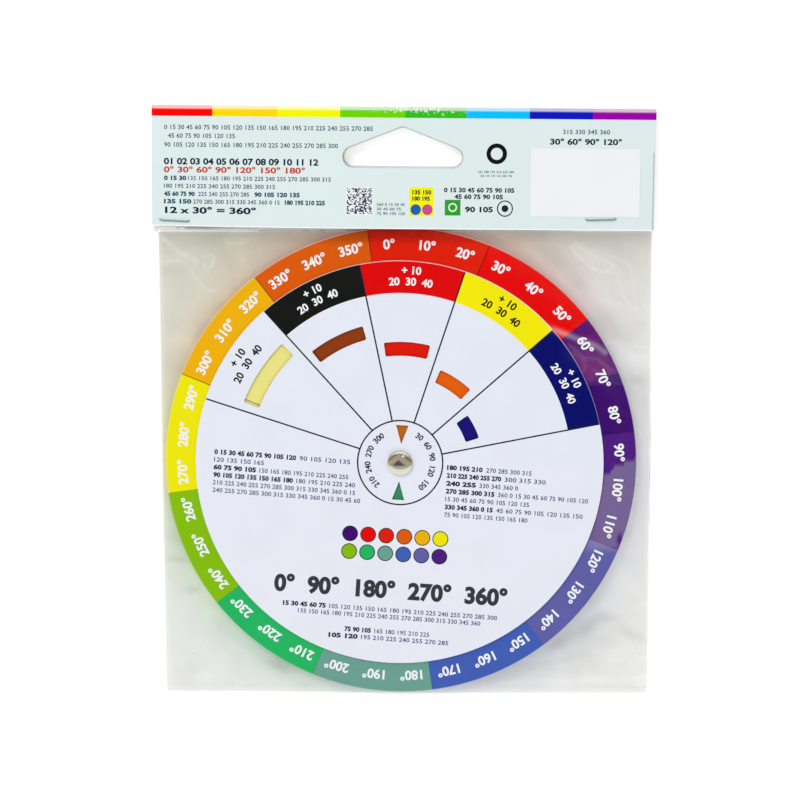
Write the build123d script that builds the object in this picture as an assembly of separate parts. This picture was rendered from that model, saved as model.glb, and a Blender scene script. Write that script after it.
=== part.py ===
from build123d import *
from math import cos, degrees, radians, sin
import os

# A colour mixing wheel in its hanging pack, lying on its back, in millimetres.
# +Z is up, towards the printed side. +Y runs from the bag's foot to the header card.
# The origin is the middle of the pack's footprint, on the surface that it lies on.

# Wheel
disc_radius = 70.0
ring_width = 9.35
sheet = 0.5
sheet_gap = 0.05
dial_turn = -3.5
dial_off = 0.52
dial_off_angle = 232.0

# Windows in the dials, each under its own sector
sector = 30.0
window_mid_shares = (0.781, 0.662, 0.562, 0.465, 0.371)
window_width = 4.15
wide_window_width = 4.9
window_margin = 2.4
window_corner = 0.5
rear_window_count = 3
pointer_base = 11.25
pointer_tip = 5.6
pointer_width = 3.7

# Rivet
dome_radius = 3.7
dome_height = 2.0
dome_rim = 0.35
foot_radius = 3.6
foot_height = 1.1
foot_rim = 0.25
post_radius = 1.5
post_clearance = 0.15
socket_depth = 1.0
socket_clearance = 0.02
socket_end_gap = 0.1

# Bag: two panels of film that meet in a narrow seam, with room for the wheel to shift
film = 0.1
film_clearance = 0.15
film_run = 0.4
seam_width = 0.3
seam_drop = 0.1
bag_left_slack = 0.5
bag_right_slack = 3.4
bag_tuck = 13.5
bag_corner = 2.0
floor_flat_share = 0.64
wheel_travel = 3.0

# Header card, folded over the bag's mouth
card = 0.4
header_height = 35.2
header_reach = 0.15
header_over_left = 1.2
header_over_right = 0.55
header_turn = -0.67
header_clearance = 0.12
fold_height = 2.3
rear_longer = 1.1
hang_width = 35.4
hang_height = 12.15
hang_drop = 17.7
hang_lobe = 3.2
hang_apex = 2.0

# Label on the header card
label_width = 31.9
label_height = 19.9
label_thickness = 0.1
label_from_right = 4.4
label_from_low = 3.75

# Staples
wire = 0.5
crown = 9.5
clinch = 3.6
staple_bend = 0.45
staple_clearance = 0.1
left_staple_inset = 7.0
left_staple_rise = 1.4
left_staple_turn = -2.2
right_staple_inset = 15.3
right_staple_rise = 2.9
right_staple_turn = 1.9

# Face to face gap, and how far a cutter runs past what it cuts
touch = 0.02
overrun = 1.0

# The dials leave the disc's outer ring of hues in sight
dial_radius = disc_radius - ring_width

# Levels of the wheel's stack, from the floor up
foot_z = film + film_clearance
rear_dial_z = foot_z + foot_height + sheet_gap
disc_z = rear_dial_z + sheet + sheet_gap
front_dial_z = disc_z + sheet + sheet_gap
dome_z = front_dial_z + sheet + sheet_gap
dome_top = dome_z + dome_height

# Levels of the bag
seam_z = disc_z - seam_drop - film
over_disc_z = disc_z + sheet + film_clearance
over_dial_z = dome_z - sheet_gap + film_clearance
over_dome_z = dome_top + film_clearance

# Bag outline, measured from the wheel's axis
bag_gap = film_clearance + film_run + seam_width
bag_left = -(disc_radius + bag_gap + bag_left_slack)
bag_right = disc_radius + bag_gap + bag_right_slack
bag_low = -(disc_radius + bag_gap)

# Header outline, measured from the wheel's axis
header_low = disc_radius - header_reach
header_left = bag_left - header_over_left
header_right = bag_right + header_over_right
header_width = header_right - header_left
header_x = (header_left + header_right) / 2
header_y = header_low + header_height / 2
header_tilt = radians(abs(header_turn))
header_high = header_y + header_height / 2 * cos(header_tilt) + header_width / 2 * sin(header_tilt)
bag_high = header_low + bag_tuck

# The pack's origin is the middle of its footprint
wheel_x = -header_x
wheel_y = -(bag_low + header_high) / 2
wheel_place = Pos(wheel_x, wheel_y, 0)

# The header's own frame: u to the right, v up, from the middle of its front panel
header_place = Pos(wheel_x + header_x, wheel_y + header_y, 0) * Rot(0, 0, header_turn)
header_foot = -header_height / 2
header_head = header_height / 2


def octagon(x_low, x_high, y_low, y_high, corner, z):
    """A rectangle with its four corners cut at 45 degrees, as a face at height z."""
    points = [
        (x_low + corner, y_low, z),
        (x_high - corner, y_low, z),
        (x_high, y_low + corner, z),
        (x_high, y_high - corner, z),
        (x_high - corner, y_high, z),
        (x_low + corner, y_high, z),
        (x_low, y_high - corner, z),
        (x_low, y_low + corner, z),
    ]
    return make_face(Polyline(*points, close=True))


def round_octagon(radius, z):
    """An octagon round a circle that is free to shift along Y by the wheel's travel."""
    corner = radius * (2 - 2 ** 0.5)
    return octagon(-radius, radius, -radius, radius + wheel_travel, corner, z)


def bag_outline(inset, z):
    return octagon(bag_left + inset, bag_right - inset, bag_low + inset, bag_high - inset, bag_corner, z)


def film_shell(sections, seam_level):
    """Film of even upright thickness over a lofted hollow, with a flat seam round its edge."""
    hollow = loft(sections, ruled=True)
    seam = extrude(bag_outline(0, seam_level), amount=film)
    if sections[-1].center().Z > seam_level:
        return (seam + Pos(0, 0, film) * hollow) - hollow
    return (seam + hollow) - Pos(0, 0, film) * hollow


def film_height(y):
    """Top of the front film on the wheel's centre line, near the header card's edge."""
    edge = disc_radius + film_clearance + wheel_travel
    inner = dial_radius + dial_off + film_clearance + wheel_travel
    return film + over_disc_z + (over_dial_z - over_disc_z) * (edge - y) / (edge - inner)


def arc_window(mid_radius, width, mid_angle):
    """A curved window: part of a ring, with its ends a set distance inside its sector."""
    half = sector / 2 - degrees(window_margin / mid_radius)
    reach = dial_radius / cos(radians(half))
    rays = [
        (reach * cos(radians(mid_angle + side * half)), reach * sin(radians(mid_angle + side * half)))
        for side in (-1, 1)
    ]
    ring = Circle(mid_radius + width / 2) - Circle(mid_radius - width / 2)
    slot = ring & make_face(Polyline((0, 0), *rays, close=True))
    return fillet(slot.vertices(), window_corner)


def pointer_window(angle):
    """A triangular window that points at the rivet."""
    low = (-pointer_width / 2, pointer_base)
    high = (pointer_width / 2, pointer_base)
    return Rot(0, 0, angle) * make_face(Polyline(low, high, (0, pointer_tip), close=True))


def disc_at(z, face):
    return wheel_place * Pos(0, 0, z) * extrude(face, amount=sheet)


def dial_face(turn, off_angle, windows):
    """Round card with its windows on the rivet's axis and its rim cut a little off it."""
    off = Pos(dial_off * cos(radians(off_angle)), dial_off * sin(radians(off_angle)), 0)
    face = off * Circle(dial_radius) - Circle(post_radius + post_clearance)
    for window in windows:
        face = face - Rot(0, 0, turn) * window
    return face


def make_color_disc():
    return disc_at(disc_z, Circle(disc_radius) - Circle(post_radius + post_clearance))


def make_front_dial():
    """Five stepped windows, one to a sector, and two pointers beside the rivet."""
    windows = [pointer_window(0), pointer_window(180)]
    for place, share in enumerate(window_mid_shares):
        width = wide_window_width if place == 0 else window_width
        mid_angle = 90 + sector * (len(window_mid_shares) // 2 - place)
        windows.append(arc_window(dial_radius * share, width, mid_angle))
    return disc_at(front_dial_z, dial_face(dial_turn, dial_off_angle, windows))


def make_rear_dial():
    """Three windows above each other in one sector, and the same two pointers."""
    windows = [pointer_window(0), pointer_window(180)]
    for share in window_mid_shares[:rear_window_count]:
        windows.append(arc_window(dial_radius * share, window_width, 90))
    return disc_at(rear_dial_z, dial_face(0, 180 - dial_off_angle, windows))


def cap_profile(radius, rim, height):
    """Half section of a domed cap with a short upright rim, on the XZ plane."""
    outline = Line((0, 0), (radius, 0)) + Line((radius, 0), (radius, rim))
    rise = height - rim
    crown_radius = (radius ** 2 + rise ** 2) / (2 * rise)
    middle = radius / 2
    middle_z = height - crown_radius + (crown_radius ** 2 - middle ** 2) ** 0.5
    outline += ThreePointArc((radius, rim), (middle, middle_z), (0, height))
    outline += Line((0, height), (0, 0))
    return Plane.XZ * make_face(outline)


def make_rivet_cap():
    dome = revolve(cap_profile(dome_radius, dome_rim, dome_height), Axis.Z)
    socket = extrude(Circle(post_radius + socket_clearance), amount=socket_depth)
    return wheel_place * Pos(0, 0, dome_z) * (dome - socket)


def make_rivet_post():
    """Rear head and post in one, with the post's end up inside the front cap."""
    head = revolve(cap_profile(foot_radius, foot_rim, foot_height), Axis.Z)
    head = Pos(0, 0, foot_z + foot_height) * Rot(180, 0, 0) * head
    post_z = foot_z + foot_height
    post_top = dome_z + socket_depth - socket_end_gap
    post = Pos(0, 0, post_z) * extrude(Circle(post_radius), amount=post_top - post_z)
    return wheel_place * (head + post)


def header_top_z(v):
    """Height of the front panel's printed face at v in the header's own frame."""
    fold_v = header_head - fold_height / 2
    share = (fold_v - v) / (fold_v - header_foot)
    low_z = film_height(header_low) + header_clearance + card
    return wire + fold_height + (low_z - wire - fold_height) * share


def hang_hole():
    """Wide triangle with rounded corners."""
    low = header_head - hang_drop
    side = hang_width / 2 - hang_lobe
    lobes = [Pos(x, low + hang_lobe) * Circle(hang_lobe) for x in (-side, side)]
    apex = Pos(0, low + hang_height - hang_apex) * Circle(hang_apex)
    return make_hull((lobes[0] + lobes[1] + apex).edges())


def staple_places():
    """Middle of each staple in the header's own frame, and its turn."""
    left = (-header_width / 2 + left_staple_inset, header_foot + left_staple_rise, left_staple_turn)
    right = (header_width / 2 - right_staple_inset, header_foot + right_staple_rise, right_staple_turn)
    return left, right


def staple_crown_z(v):
    return header_top_z(v) + touch + wire / 2


def staple_holes():
    """Upright holes for the staples' legs, through card and film."""
    holes = []
    for u, v, turn in staple_places():
        for side in (-1, 1):
            leg = Pos(u, v, -overrun) * Rot(0, 0, turn) * Pos(side * (crown - wire) / 2, 0, 0)
            height = staple_crown_z(v) + 2 * overrun
            holes.append(header_place * leg * extrude(Circle(wire / 2 + staple_clearance), amount=height))
    return holes


def make_header_card():
    """One card: rear panel, rounded fold and a front panel that rises over the disc's edge."""
    low_z = header_top_z(header_foot)
    fold_v = header_head - fold_height / 2
    rear_foot = header_foot - 2 * rear_longer
    mid_z = wire + touch + fold_height / 2
    rear_z = wire + touch
    fold_z = rear_z + fold_height
    outline = Line((rear_foot, rear_z), (fold_v, rear_z))
    outline += ThreePointArc((fold_v, rear_z), (header_head, mid_z), (fold_v, fold_z))
    outline += Polyline((fold_v, fold_z), (header_foot, low_z + touch), (header_foot, low_z + touch - card),
                        (fold_v, fold_z - card))
    outline += ThreePointArc((fold_v, fold_z - card), (header_head - card, mid_z), (fold_v, rear_z + card))
    outline += Polyline((fold_v, rear_z + card), (rear_foot, rear_z + card), (rear_foot, rear_z))
    section = Plane.YZ * make_face(outline)
    panel = extrude(section, amount=header_width / 2, both=True)
    hole = Pos(0, 0, -overrun) * extrude(hang_hole(), amount=fold_height + wire + 3 * overrun)
    panel = header_place * (panel - hole)
    trim_y = wheel_y + header_low - rear_longer
    trim = Pos(0, trim_y - header_height / 2, 0) * Box(2 * header_width, header_height, header_height)
    return panel - trim - staple_holes()


def make_label():
    """A plain sticker that lies on the sloping front panel."""
    low = header_foot + label_from_low
    high = low + label_height
    low_z = header_top_z(low) + 2 * touch
    high_z = header_top_z(high) + 2 * touch
    points = [(low, low_z), (high, high_z), (high, high_z + label_thickness), (low, low_z + label_thickness)]
    section = Plane.YZ * make_face(Polyline(*points, close=True))
    middle = header_width / 2 - label_from_right - label_width / 2
    return header_place * Pos(middle, 0, 0) * extrude(section, amount=label_width / 2, both=True)


def make_staple(place):
    """Crown on the front panel, two upright legs, and ends bent in under the rear panel."""
    u, v, turn = place
    top = staple_crown_z(v) + touch
    low = wire / 2
    side = (crown - wire) / 2
    tip = side - clinch
    path = FilletPolyline((-tip, low), (-side, low), (-side, top), (side, top), (side, low), (tip, low),
                          radius=staple_bend)
    path = Plane.XZ * path
    end = Plane(path @ 0, z_dir=path % 0)
    return header_place * Pos(u, v, 0) * Rot(0, 0, turn) * sweep(end * Circle(wire / 2), path=path)


def make_bag_front():
    edge = disc_radius + film_clearance
    inner = dial_radius + dial_off + film_clearance
    sections = [
        bag_outline(seam_width, seam_z + film),
        round_octagon(edge, over_disc_z),
        round_octagon(inner, over_dial_z),
        round_octagon(dome_radius, over_dome_z),
    ]
    return wheel_place * film_shell(sections, seam_z + film) - staple_holes()


def make_bag_rear():
    sections = [
        bag_outline(seam_width, seam_z),
        round_octagon(disc_radius * floor_flat_share, 0),
    ]
    return wheel_place * film_shell(sections, seam_z) - staple_holes()


left_place, right_place = staple_places()
nodes = {
    "color_disc": make_color_disc(),
    "front_dial": make_front_dial(),
    "rear_dial": make_rear_dial(),
    "rivet_cap": make_rivet_cap(),
    "rivet_post": make_rivet_post(),
    "header_card": make_header_card(),
    "bag_front_film": make_bag_front(),
    "bag_rear_film": make_bag_rear(),
    "staple_left": make_staple(left_place),
    "staple_right": make_staple(right_place),
    "blank_label": make_label(),
}

os.makedirs("parts", exist_ok=True)
for name, shape in nodes.items():
    export_step(shape, f"parts/{name}.step")
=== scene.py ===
# %% [markdown]
# # A colour mixing wheel in its hanging pack
#
# The real thing is three round cards on one rivet: a disc printed in twelve hues, a windowed
# dial above it and another below it. It is sold in a clear film bag, closed by a folded header
# card and two staples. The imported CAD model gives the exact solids, so it is loaded first and
# nothing in it is moved. Cards that are already right get better materials. The header card,
# the film, the rivet and the staples get finer meshes, because folds, creases and round metal
# are what the eye looks for.

# %% Load the fixed frame
import math

import bpy
import numpy as np
from mathutils import Matrix, Vector
from mathutils.geometry import convex_hull_2d, delaunay_2d_cdt


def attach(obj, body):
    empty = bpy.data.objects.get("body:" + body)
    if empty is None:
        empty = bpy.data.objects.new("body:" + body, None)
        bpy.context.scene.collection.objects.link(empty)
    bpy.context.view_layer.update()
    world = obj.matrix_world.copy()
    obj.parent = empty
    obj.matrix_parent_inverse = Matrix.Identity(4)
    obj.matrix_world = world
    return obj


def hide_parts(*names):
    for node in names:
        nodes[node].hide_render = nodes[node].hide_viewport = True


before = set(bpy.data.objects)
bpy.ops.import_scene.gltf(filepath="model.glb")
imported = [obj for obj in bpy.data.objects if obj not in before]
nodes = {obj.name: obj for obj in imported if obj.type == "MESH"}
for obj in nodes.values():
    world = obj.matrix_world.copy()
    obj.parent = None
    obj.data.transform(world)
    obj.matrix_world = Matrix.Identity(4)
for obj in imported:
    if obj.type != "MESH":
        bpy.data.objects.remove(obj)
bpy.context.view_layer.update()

MM = 0.001
scene = bpy.context.scene
scene.view_settings.view_transform = "Standard"
print("CAD nodes:", sorted(nodes))

# %% [markdown]
# ## The camera
#
# The photograph was taken from nearly overhead, a little to the head of the pack and to its
# right, with a longish lens. The place and the tilt were fitted to the round outlines of the
# disc and the dial, which show a tilt far better than straight edges do.

# %% Camera
CAMERA_PLACE = Vector((25.07, 110.69, 764.81)) * MM
CAMERA_TILT = {"Y": 1.967, "X": -8.168, "Z": -0.23}
LENS = 117.0

camera_data = bpy.data.cameras.new("camera")
camera_data.lens = LENS
camera_data.clip_end = 20.0
camera = bpy.data.objects.new("camera", camera_data)
scene.collection.objects.link(camera)
turn = Matrix.Identity(4)
for axis, angle in CAMERA_TILT.items():
    turn = turn @ Matrix.Rotation(math.radians(angle), 4, axis)
camera.matrix_world = Matrix.Translation(CAMERA_PLACE) @ turn
scene.camera = camera
print("camera at", tuple(round(value, 4) for value in CAMERA_PLACE))

# %% [markdown]
# ## Drawing node graphs
#
# Every finish below is a small graph of nodes. Written node by node, a graph hides what it
# reckons, so an output is wrapped in a small class here: a sum written with it, such as
# a * 2 - b, adds the Math nodes by itself. The name tree always stands for the graph that is
# being drawn. Colours are noted as a painter would, from 0 to 255, and turned into linear light.

# %% Signals and nodes
def linear(red, green, blue):
    """A colour noted as 0 to 255 values, as linear light: ((c + 0.055) / 1.055) to the power 2.4."""
    shares = np.array((red, green, blue)) / 255
    light = np.where(shares > 0.04045, ((shares + 0.055) / 1.055) ** 2.4, shares / 12.92)
    return (*light.tolist(), 1.0)


# The graph that is being drawn: each new material, group or sky takes its place.
tree = None


class Signal:
    """A node's output that can stand in a sum: each sign adds a Math node."""

    def __init__(self, socket):
        self.socket = socket

    def __add__(self, other):
        return reckon("ADD", self, other)

    def __sub__(self, other):
        return reckon("SUBTRACT", self, other)

    def __rsub__(self, other):
        return reckon("SUBTRACT", other, self)

    def __mul__(self, other):
        return reckon("MULTIPLY", self, other)

    def __truediv__(self, other):
        return reckon("DIVIDE", self, other)


def plug(value, socket):
    """Fills a socket from a number, a colour or a signal."""
    if isinstance(value, Signal):
        tree.links.new(value.socket, socket)
    else:
        socket.default_value = value


def fill(made, inputs):
    """Fills several sockets of a node."""
    for socket, value in inputs.items():
        plug(value, made.inputs[socket])


def add_node(kind, inputs=(), **settings):
    """One node: its properties first, then its sockets."""
    made = tree.nodes.new(kind)
    for name, value in settings.items():
        setattr(made, name, value)
    fill(made, dict(inputs))
    return made


def node(kind, inputs=(), output=0, **settings):
    """One node, as the signal that it puts out."""
    return Signal(add_node(kind, inputs, **settings).outputs[output])


def reckon(operation, *values, clamp=False):
    """One sum on up to three numbers or signals."""
    return node("ShaderNodeMath", enumerate(values), operation=operation, use_clamp=clamp)


def split(vector):
    """The three numbers of a vector."""
    made = add_node("ShaderNodeSeparateXYZ", {0: vector})
    return [Signal(socket) for socket in made.outputs]


print("signals ready")

# %% [markdown]
# Masks are numbers too: 1 inside and 0 outside, so a product means both and a maximum means
# either. With them, a print is a stack of flat shapes, each blended over what lies below it.

# %% Masks, blends and groups
FULL_TURN = 360.0


def above(value, limit):
    """1 where the value is greater than the limit, 0 elsewhere."""
    return reckon("GREATER_THAN", value, limit)


def below(value, limit):
    """1 where the value is less than the limit, 0 elsewhere."""
    return reckon("LESS_THAN", value, limit)


def between(value, low, high):
    """1 from low to high, 0 elsewhere: both masks at once."""
    return above(value, low) * below(value, high)


def either(*masks):
    """Where any of the masks holds: their maximum."""
    result = masks[0]
    for mask in masks[1:]:
        result = reckon("MAXIMUM", result, mask)
    return result


def distance(across, up, x, y):
    """Distance from the point (x, y)."""
    dx, dy = across - x, up - y
    return reckon("SQRT", dx * dx + dy * dy)


def direction(across, up, x=0.0, y=0.0):
    """Direction from the point (x, y), 0 to 360 degrees from its right."""
    return reckon("FRACT", reckon("ARCTAN2", up - y, across - x) / math.tau) * FULL_TURN


def off_whole(value):
    """How far a value is from the nearest whole number."""
    return reckon("ABSOLUTE", value - reckon("ROUND", value))


def blend(share, first, second, way="MIX"):
    """The first colour where share is 0 and the second where it is 1."""
    inputs = {0: share, 6: first, 7: second}
    return node("ShaderNodeMix", inputs, 2, data_type="RGBA", blend_type=way)


def spread(value, low, high, to_low=0.0, to_high=1.0, smooth=False):
    """value between low and high, stretched to between to_low and to_high and held there."""
    kind = "SMOOTHSTEP" if smooth else "LINEAR"
    inputs = enumerate((value, low, high, to_low, to_high))
    return node("ShaderNodeMapRange", inputs, interpolation_type=kind)


def steps_of(value, colors, places=None):
    """A row of flat colours: colour k from its place on, the places evenly spaced unless given."""
    ramp = add_node("ShaderNodeValToRGB", {0: value})
    ramp.color_ramp.interpolation = "CONSTANT"
    places = places or [index / len(colors) for index in range(len(colors))]
    elements = ramp.color_ramp.elements
    while len(elements) < len(colors):
        elements.new(1.0)
    for element, place, color in zip(elements, places, colors):
        element.position = place
        element.color = color
    return Signal(ramp.outputs[0])


def middle_of_step(value, count):
    """value from 0 to 1, moved to the middle of its step of count equal ones. A ramp is stored as
    256 colours, so flat steps are exact only when they are read away from their ends."""
    return (reckon("FLOOR", value * count) + 0.5) / count


def noise(place, size, detail=3.0, roughness=0.5):
    """Soft random values from 0 to 1, with blobs about size across in the units of place."""
    inputs = {"Vector": place, "Scale": 1.0 / size, "Detail": detail, "Roughness": roughness}
    return node("ShaderNodeTexNoise", inputs)


def relief(height, strength, depth):
    """The normal of a surface with small bumps, depth in metres."""
    return node("ShaderNodeBump", {"Strength": strength, "Distance": depth, "Height": height})


def new_group(name, inputs, outputs):
    """A node group to draw in, with named sockets, and the signals that it is given."""
    global tree
    tree = bpy.data.node_groups.new(name, "ShaderNodeTree")
    for in_out, sockets in (("INPUT", inputs), ("OUTPUT", outputs)):
        for socket, kind in sockets.items():
            tree.interface.new_socket(name=socket, in_out=in_out, socket_type=f"NodeSocket{kind}")
    given = tree.nodes.new("NodeGroupInput").outputs
    return tree, {socket: Signal(given[socket]) for socket in inputs}


def use_group(group, **inputs):
    """Places a group in a material and returns its results by name."""
    placed = add_node("ShaderNodeGroup", inputs, node_tree=group)
    return {socket.name: Signal(socket) for socket in placed.outputs}


def new_material(name):
    """A material to draw in, and its Principled BSDF."""
    global tree
    material = bpy.data.materials.new(name)
    material.use_nodes = True
    tree = material.node_tree
    return material, tree.nodes["Principled BSDF"]


def new_surface(name):
    """A material to draw in that will have a mix of other shaders, and its output socket."""
    material, shader = new_material(name)
    tree.nodes.remove(shader)
    return material, tree.nodes["Material Output"].inputs["Surface"]


def wear(piece, *materials):
    """Gives a mesh object its materials in order."""
    piece.data.materials.clear()
    for material in materials:
        piece.data.materials.append(material)


print("masks, blends and groups ready")

# %% [markdown]
# ## The studio
#
# The photograph has a pure white ground and very soft light, a little stronger from the head
# of the pack. One broad lamp and an even sky give that. The ground is a pale floor that also
# sends a little light of its own to the camera, which lifts it to white without lighting the
# object, and it keeps the pack's soft shadow. Polished metal and film mirror what is overhead:
# a white room with a darker patch where the camera stands.

# %% Floor
FLOOR_SIZE = 8.0
FLOOR_DROP = 0.3 * MM
FLOOR_SELF = 0.35
PLAIN_WHITE = (1.0, 1.0, 1.0, 1.0)


def ray(kind):
    """1 for rays of light of one kind."""
    return node("ShaderNodeLightPath", output=kind)


floor_mesh = bpy.data.meshes.new("floor")
half = FLOOR_SIZE / 2
corners = [(x * half, y * half, -FLOOR_DROP) for x, y in ((-1, -1), (1, -1), (1, 1), (-1, 1))]
floor_mesh.from_pydata(corners, [], [(0, 1, 2, 3)])
floor = bpy.data.objects.new("floor", floor_mesh)
scene.collection.objects.link(floor)

floor_paint, surface = new_surface("white_floor")
matt = node("ShaderNodeBsdfDiffuse", {"Color": (0.9, 0.9, 0.9, 1.0)})
seen = either(ray("Is Camera Ray"), ray("Is Glossy Ray"), ray("Is Transmission Ray"))
lit = node("ShaderNodeEmission", {"Color": PLAIN_WHITE, "Strength": seen * FLOOR_SELF})
plug(node("ShaderNodeAddShader", {0: matt, 1: lit}), surface)
wear(floor, floor_paint)
print("floor", FLOOR_SIZE, "m across")

# %% Sky
SKY_LIGHT = 0.80

world = bpy.data.worlds.new("studio")
scene.world = world
world.use_nodes = True
tree = world.node_tree
tree.nodes.clear()
towards = split(node("ShaderNodeTexCoord", output="Generated"))
nearness = reckon("MAXIMUM", towards[2], -0.9) + 1.0
room_x, room_y = towards[0] / nearness, towards[1] / nearness


def room_circle(middle, radii, soft=0.06):
    """Soft-edged ellipse in the mirrored room: 1 inside."""
    dx, dy = (room_x - middle[0]) / radii[0], (room_y - middle[1]) / radii[1]
    return spread(dx * dx + dy * dy, 1.0 - soft, 1.0 + soft, 1.0, 0.0, smooth=True)


def room_roof(middle, top, slope, soft=0.03):
    """Below two slopes that fall away to both sides of a peak: 1 inside."""
    line = top - reckon("ABSOLUTE", room_x - middle) * slope
    return spread(line - room_y, -soft, soft, smooth=True)


low_line = room_x * room_x * 0.4 - 0.40
band = room_circle((-0.06, -0.1), (0.83, 0.55))
band = band * spread(room_y - low_line, -0.02, 0.02, smooth=True)
roof = room_roof(-0.09, 0.44, 0.7)
ridge = room_roof(-0.09, 0.52, 0.7) * (1.0 - roof)
foot = spread(room_y, -0.27, -0.21, 1.0, 0.0)
figure = room_roof(-0.085, 0.12, 0.9) * spread(room_y, -0.23, -0.19)
lamp_spot = room_circle((0.153, 0.313), (0.055, 0.05), soft=0.4)
mirrored = (1.0, 1.0, 0.97, 1.0)
for share, color in [
    (band, linear(150, 144, 128)), (band * ridge, linear(104, 88, 82)),
    (band * roof, linear(188, 172, 154)), (band * foot, linear(184, 188, 170)),
    (figure, linear(84, 88, 96)), (lamp_spot, (1.6, 1.6, 1.6, 1.0)),
]:
    mirrored = blend(share, mirrored, color)
even = node("ShaderNodeBackground", {"Color": PLAIN_WHITE, "Strength": SKY_LIGHT})
plain = node("ShaderNodeBackground", {"Color": PLAIN_WHITE, "Strength": 1.0})
room = node("ShaderNodeBackground", {"Color": mirrored, "Strength": 1.0})
sky = node("ShaderNodeMixShader", {0: ray("Is Glossy Ray"), 1: even, 2: room})
seen = either(ray("Is Camera Ray"), ray("Is Transmission Ray"))
sky = node("ShaderNodeMixShader", {0: seen, 1: sky, 2: plain})
add_node("ShaderNodeOutputWorld", {"Surface": sky})
print("sky light", SKY_LIGHT)

# %% Lamps
LAMPS = {
    "broad_lamp": ((-520, 900, 900), 520, 5.1),
    "foot_lamp": ((260, -900, 700), 420, 0.9),
}


def add_lamp(name, place, size, power):
    """A square lamp, size in millimetres, that faces the middle of the pack. Mirrors show the
    painted room and not the lamp."""
    data = bpy.data.lights.new(name, "AREA")
    data.size = size * MM
    data.energy = power
    lamp = bpy.data.objects.new(name, data)
    lamp.location = Vector(place) * MM
    lamp.rotation_euler = (-lamp.location).to_track_quat("-Z", "Y").to_euler()
    lamp.visible_glossy = False
    scene.collection.objects.link(lamp)


for name, (place, size, power) in LAMPS.items():
    add_lamp(name, place, size, power)
print("lamps:", sorted(LAMPS))

# %% [markdown]
# ## Places on the wheel
#
# Everything printed on the wheel is laid out round the rivet, so the finishes need to know how
# far from the rivet a point is, and in which direction. One node group turns Object coordinates
# into millimetres from the rivet, and gives the radius and the turn.

# %% Wheel coordinates
WHEEL_X = -1.125
WHEEL_Y = -17.53
DISC_TOP = 2.45
DIAL_TOP = 3.0
CARD = 0.5

polar_group, given = new_group(
    "wheel_place", {"Turned": "Float"},
    {"Place": "Vector", **dict.fromkeys(("Radius", "Degrees", "Across", "Up", "Height"), "Float")},
)
inputs = {"Vector": node("ShaderNodeTexCoord", output="Object"), "Location": (-WHEEL_X, -WHEEL_Y, 0.0)}
centred = node("ShaderNodeMapping", {**inputs, "Scale": (1000.0, 1000.0, 1000.0)})
inputs = {"Vector": centred, "Angle": given["Turned"] * math.radians(1.0)}
turned = node("ShaderNodeVectorRotate", inputs, rotation_type="Z_AXIS")
x, y, z = split(turned)
found = {"Place": turned, "Radius": distance(x, y, 0.0, 0.0), "Degrees": direction(x, y)}
add_node("NodeGroupOutput", {**found, "Across": x, "Up": y, "Height": z})
print("wheel centre", WHEEL_X, WHEEL_Y, "mm")

# %% [markdown]
# ## Card
#
# All the cards are coated board. Up close the coating is not quite flat: it shows the fibres
# under it as a faint mottle. The group below gives that mottle as a shade and as a height.

# %% Card grain
CARD_SHINE = 0.02

grain_group, given = new_group(
    "card_grain", {"Place": "Vector", "Strength": "Float"}, {"Shade": "Float", "Height": "Float"}
)
fibres = noise(given["Place"], 0.35, detail=4.0)
mottle = (fibres - 0.5) * 0.4 + (noise(given["Place"], 14.0) - 0.5)
add_node("NodeGroupOutput", {"Shade": mottle * given["Strength"] + 1.0, "Height": fibres})


def finish_card(shader, color, place=None, roughness=0.42, strength=0.08, bump=0.06):
    """Puts a printed colour on coated board: mottled, satin, very slightly uneven."""
    place = place or use_group(polar_group, Turned=0.0)["Place"]
    grain = use_group(grain_group, Place=place, Strength=strength)
    shade = node("ShaderNodeCombineColor", dict.fromkeys((0, 1, 2), grain["Shade"]))
    fill(shader, {
        "Base Color": blend(1.0, color, shade, way="MULTIPLY"),
        "Roughness": spread(grain["Height"], 0.3, 0.7, roughness - 0.05, roughness + 0.05),
        "Normal": relief(grain["Height"], bump, 0.00005),
        "Specular IOR Level": CARD_SHINE,
    })


print("card grain ready")

# %% [markdown]
# ## The colour disc
#
# Twelve hues run round the rim, thirty degrees each. Under the dial's windows the disc carries
# one ring for each colour that the dial adds, and each ring shows what the mix looks like: the
# hue of its sector with white, black, red, yellow or blue stirred in. The rear side has rings
# of tints, greys and shades. A ring next to the rivet holds the opposite colours that the two
# pointers show. The hues are printed flat, so constant colour ramps do it.

# %% Hues
FIRST_BOUNDARY = 7.7
HUES = [
    linear(62, 6, 110), linear(233, 2, 2), linear(226, 30, 2), linear(222, 92, 4),
    linear(241, 179, 6), linear(242, 234, 6), linear(134, 191, 8), linear(36, 184, 99),
    linear(108, 163, 147), linear(66, 96, 182), linear(97, 97, 168), linear(78, 28, 128),
]
TINTS = [
    linear(196, 160, 214), linear(246, 160, 150), linear(248, 176, 148), linear(248, 200, 140),
    linear(239, 232, 135), linear(246, 243, 160), linear(214, 232, 160), linear(170, 222, 190),
    linear(196, 222, 212), linear(174, 190, 226), linear(186, 184, 222), linear(184, 160, 214),
]
BLUE_MIXES = [
    linear(24, 16, 122), linear(92, 14, 96), linear(98, 32, 84), linear(92, 62, 60),
    linear(70, 108, 56), linear(40, 132, 70), linear(20, 116, 84), linear(8, 94, 104),
    linear(20, 84, 130), linear(12, 40, 142), linear(26, 34, 138), linear(30, 18, 126),
]
OPPOSITES = [
    linear(120, 40, 130), linear(190, 40, 30), linear(196, 106, 6), linear(206, 130, 20),
    linear(216, 168, 30), linear(196, 190, 30), linear(120, 160, 40), linear(48, 150, 90),
    linear(58, 146, 106), linear(50, 110, 160), linear(70, 80, 160), linear(90, 50, 150),
]
WHITE = linear(250, 250, 250)
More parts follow.
